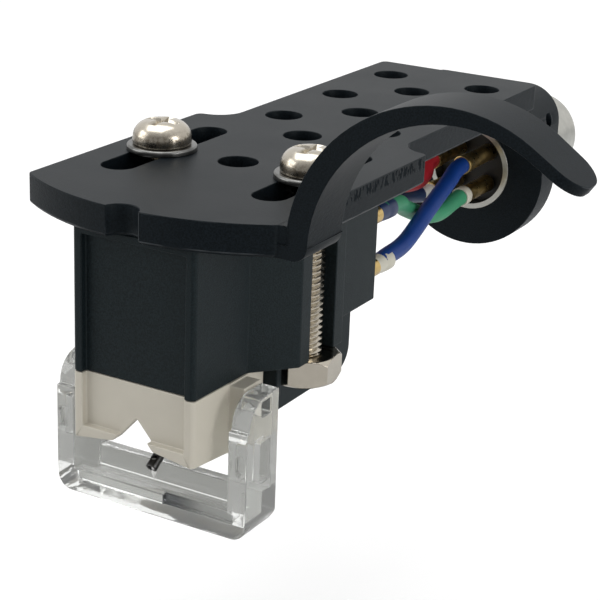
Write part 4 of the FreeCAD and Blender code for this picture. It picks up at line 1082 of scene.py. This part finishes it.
class CARTRIDGE_OT_connector(bpy.types.Operator):
    """Bayonet tube, insulator, contacts, gasket and small pins"""
    bl_idname = "cartridge.connector"
    bl_label = "Connector"

    def execute(self, context):
        edge = sizes().metal_edge
        dress("bayonet_tube", "connector_tube", edge, tube_plate(), HOLDER)
        rubber = plain_plastic("gasket_rubber", GASKET_GREY, rough=0.6)
        dress("gasket_washer", "gasket_ring", edge * 2, rubber, HOLDER)
        brass = plated("pin_gold", colours().gold, rough=0.22)
        for colour in LEAD_COLOURS:
            coat("contact_pin_" + colour, brass)
            coat("terminal_pin_" + colour, brass)
        coat("locating_pin", brass)
        black = plain_plastic("insulator_plastic", INSULATOR_BLACK, rough=0.45)
        coat("insulator_block", black)
        coat("terminal_block", black)
        coat("clamp_screw", plated("black_steel", SCREW_BLACK, rough=0.35))
        return {"FINISHED"}


class CARTRIDGE_OT_fasteners(bpy.types.Operator):
    """Pan head screws, washers and hexagon nuts"""
    bl_idname = "cartridge.fasteners"
    bl_label = "Fasteners"

    def execute(self, context):
        edge = sizes().metal_edge
        nickel = stained_nickel_with_painted_reflection()
        dull = plated("dull_nickel", WASHER_GREY, rough=0.26)
        for side in SIDES:
            mounting_screw(side, nickel)
            dress("washer_" + side, "flat_washer_" + side, edge, dull, HOLDER)
            dress("hex_nut_" + side, "fixing_nut_" + side, edge, nickel, HOLDER)
        return {"FINISHED"}


class CARTRIDGE_OT_body(bpy.types.Operator):
    """Cartridge body with the parts of its generator"""
    bl_idname = "cartridge.body"
    bl_label = "Body"

    def execute(self, context):
        dress("cartridge_body", "body_moulding", sizes().moulding_edge, body_plastic(),
              HOLDER)
        coat("magnetic_shield", plated("shield_sheet", SHIELD_GREY, rough=0.3))
        iron = plated("pole_iron", IRON_GREY, rough=0.35)
        wire = wound_wire()
        for side in SIDES:
            coat("pole_piece_" + side, iron)
            coat("coil_" + side, wire)
        return {"FINISHED"}


class CARTRIDGE_OT_stylus(bpy.types.Operator):
    """Stylus grip, tube, damper, cantilever and tip"""
    bl_idname = "cartridge.stylus"
    bl_label = "Stylus"

    def execute(self, context):
        dress("stylus_grip", "grip_moulding", sizes().grip_edge, grip_plastic(),
              STYLUS)
        coat("stylus_tube", plated("tube_alloy", STYLUS_TUBE_GREY, rough=0.3))
        coat("rubber_damper", plain_plastic("damper_rubber", DAMPER_BLACK, rough=0.7))
        dress("cantilever", "cantilever_tube", sizes().metal_edge / 2,
              plated("dark_alloy", ARM_BLACK, rough=0.3), ARM)
        coat("magnet", plated("magnet_steel", MAGNET_GREY, rough=0.4))
        coat("stylus_tip", tip_stone())
        return {"FINISHED"}


class CARTRIDGE_OT_guard(bpy.types.Operator):
    """Clear stylus guard"""
    bl_idname = "cartridge.guard"
    bl_label = "Guard"

    def execute(self, context):
        dress("stylus_guard", "guard_moulding", sizes().guard_edge, clear_plastic(),
              GUARD)
        return {"FINISHED"}


class CARTRIDGE_OT_leads(bpy.types.Operator):
    """Four leads with a rolled clip at each end"""
    bl_idname = "cartridge.leads"
    bl_label = "Leads"

    def execute(self, context):
        gold = plated("clip_gold", colours().gold, rough=0.24)
        pale = clip_finish("clip_with_pale_crimp", colours().crimp)
        dark = clip_finish("clip_with_dark_sleeve", colours().navy)
        tails = {"cartridge_clip_blue": pale, "connector_clip_green": pale,
                 "cartridge_clip_green": dark}
        for colour in LEAD_COLOURS:
            for end in ("cartridge", "connector"):
                node = end + "_clip_" + colour
                front, rear = ends_of(node)
                mouth, tail = (front, rear) if end == "cartridge" else (rear, front)
                clip = rolled_clip("rolled_clip_" + end + "_" + colour, mouth, tail)
                finish_piece(clip, tails.get(node, gold), HOLDER, node)
            lead(colour)
        return {"FINISHED"}


class CARTRIDGE_PT_panel(bpy.types.Panel):
    """Sizes, colours and groups of the cartridge"""
    bl_idname = "CARTRIDGE_PT_panel"
    bl_label = "Phono cartridge"
    bl_space_type = "VIEW_3D"
    bl_region_type = "UI"
    bl_category = "Cartridge"

    def draw(self, context):
        layout = self.layout
        for group in (context.scene.cartridge_sizes, context.scene.cartridge_colours):
            column = layout.column(align=True)
            for name in group.__annotations__:
                column.prop(group, name)
        for name in GROUPS:
            layout.operator("cartridge." + name)


CLASSES = (CartridgeSizes, CartridgeColours, CARTRIDGE_OT_stage, CARTRIDGE_OT_headshell,
           CARTRIDGE_OT_connector, CARTRIDGE_OT_fasteners, CARTRIDGE_OT_body,
           CARTRIDGE_OT_stylus, CARTRIDGE_OT_guard, CARTRIDGE_OT_leads, CARTRIDGE_PT_panel)


def register():
    for item in CLASSES:
        bpy.utils.register_class(item)
    bpy.types.Scene.cartridge_sizes = bpy.props.PointerProperty(type=CartridgeSizes)
    bpy.types.Scene.cartridge_colours = bpy.props.PointerProperty(type=CartridgeColours)


def unregister():
    del bpy.types.Scene.cartridge_colours
    del bpy.types.Scene.cartridge_sizes
    for item in reversed(CLASSES):
        bpy.utils.unregister_class(item)


def main():
    register()
    for name in GROUPS:
        getattr(bpy.ops.cartridge, name)()


if __name__ == "__main__":
    main()
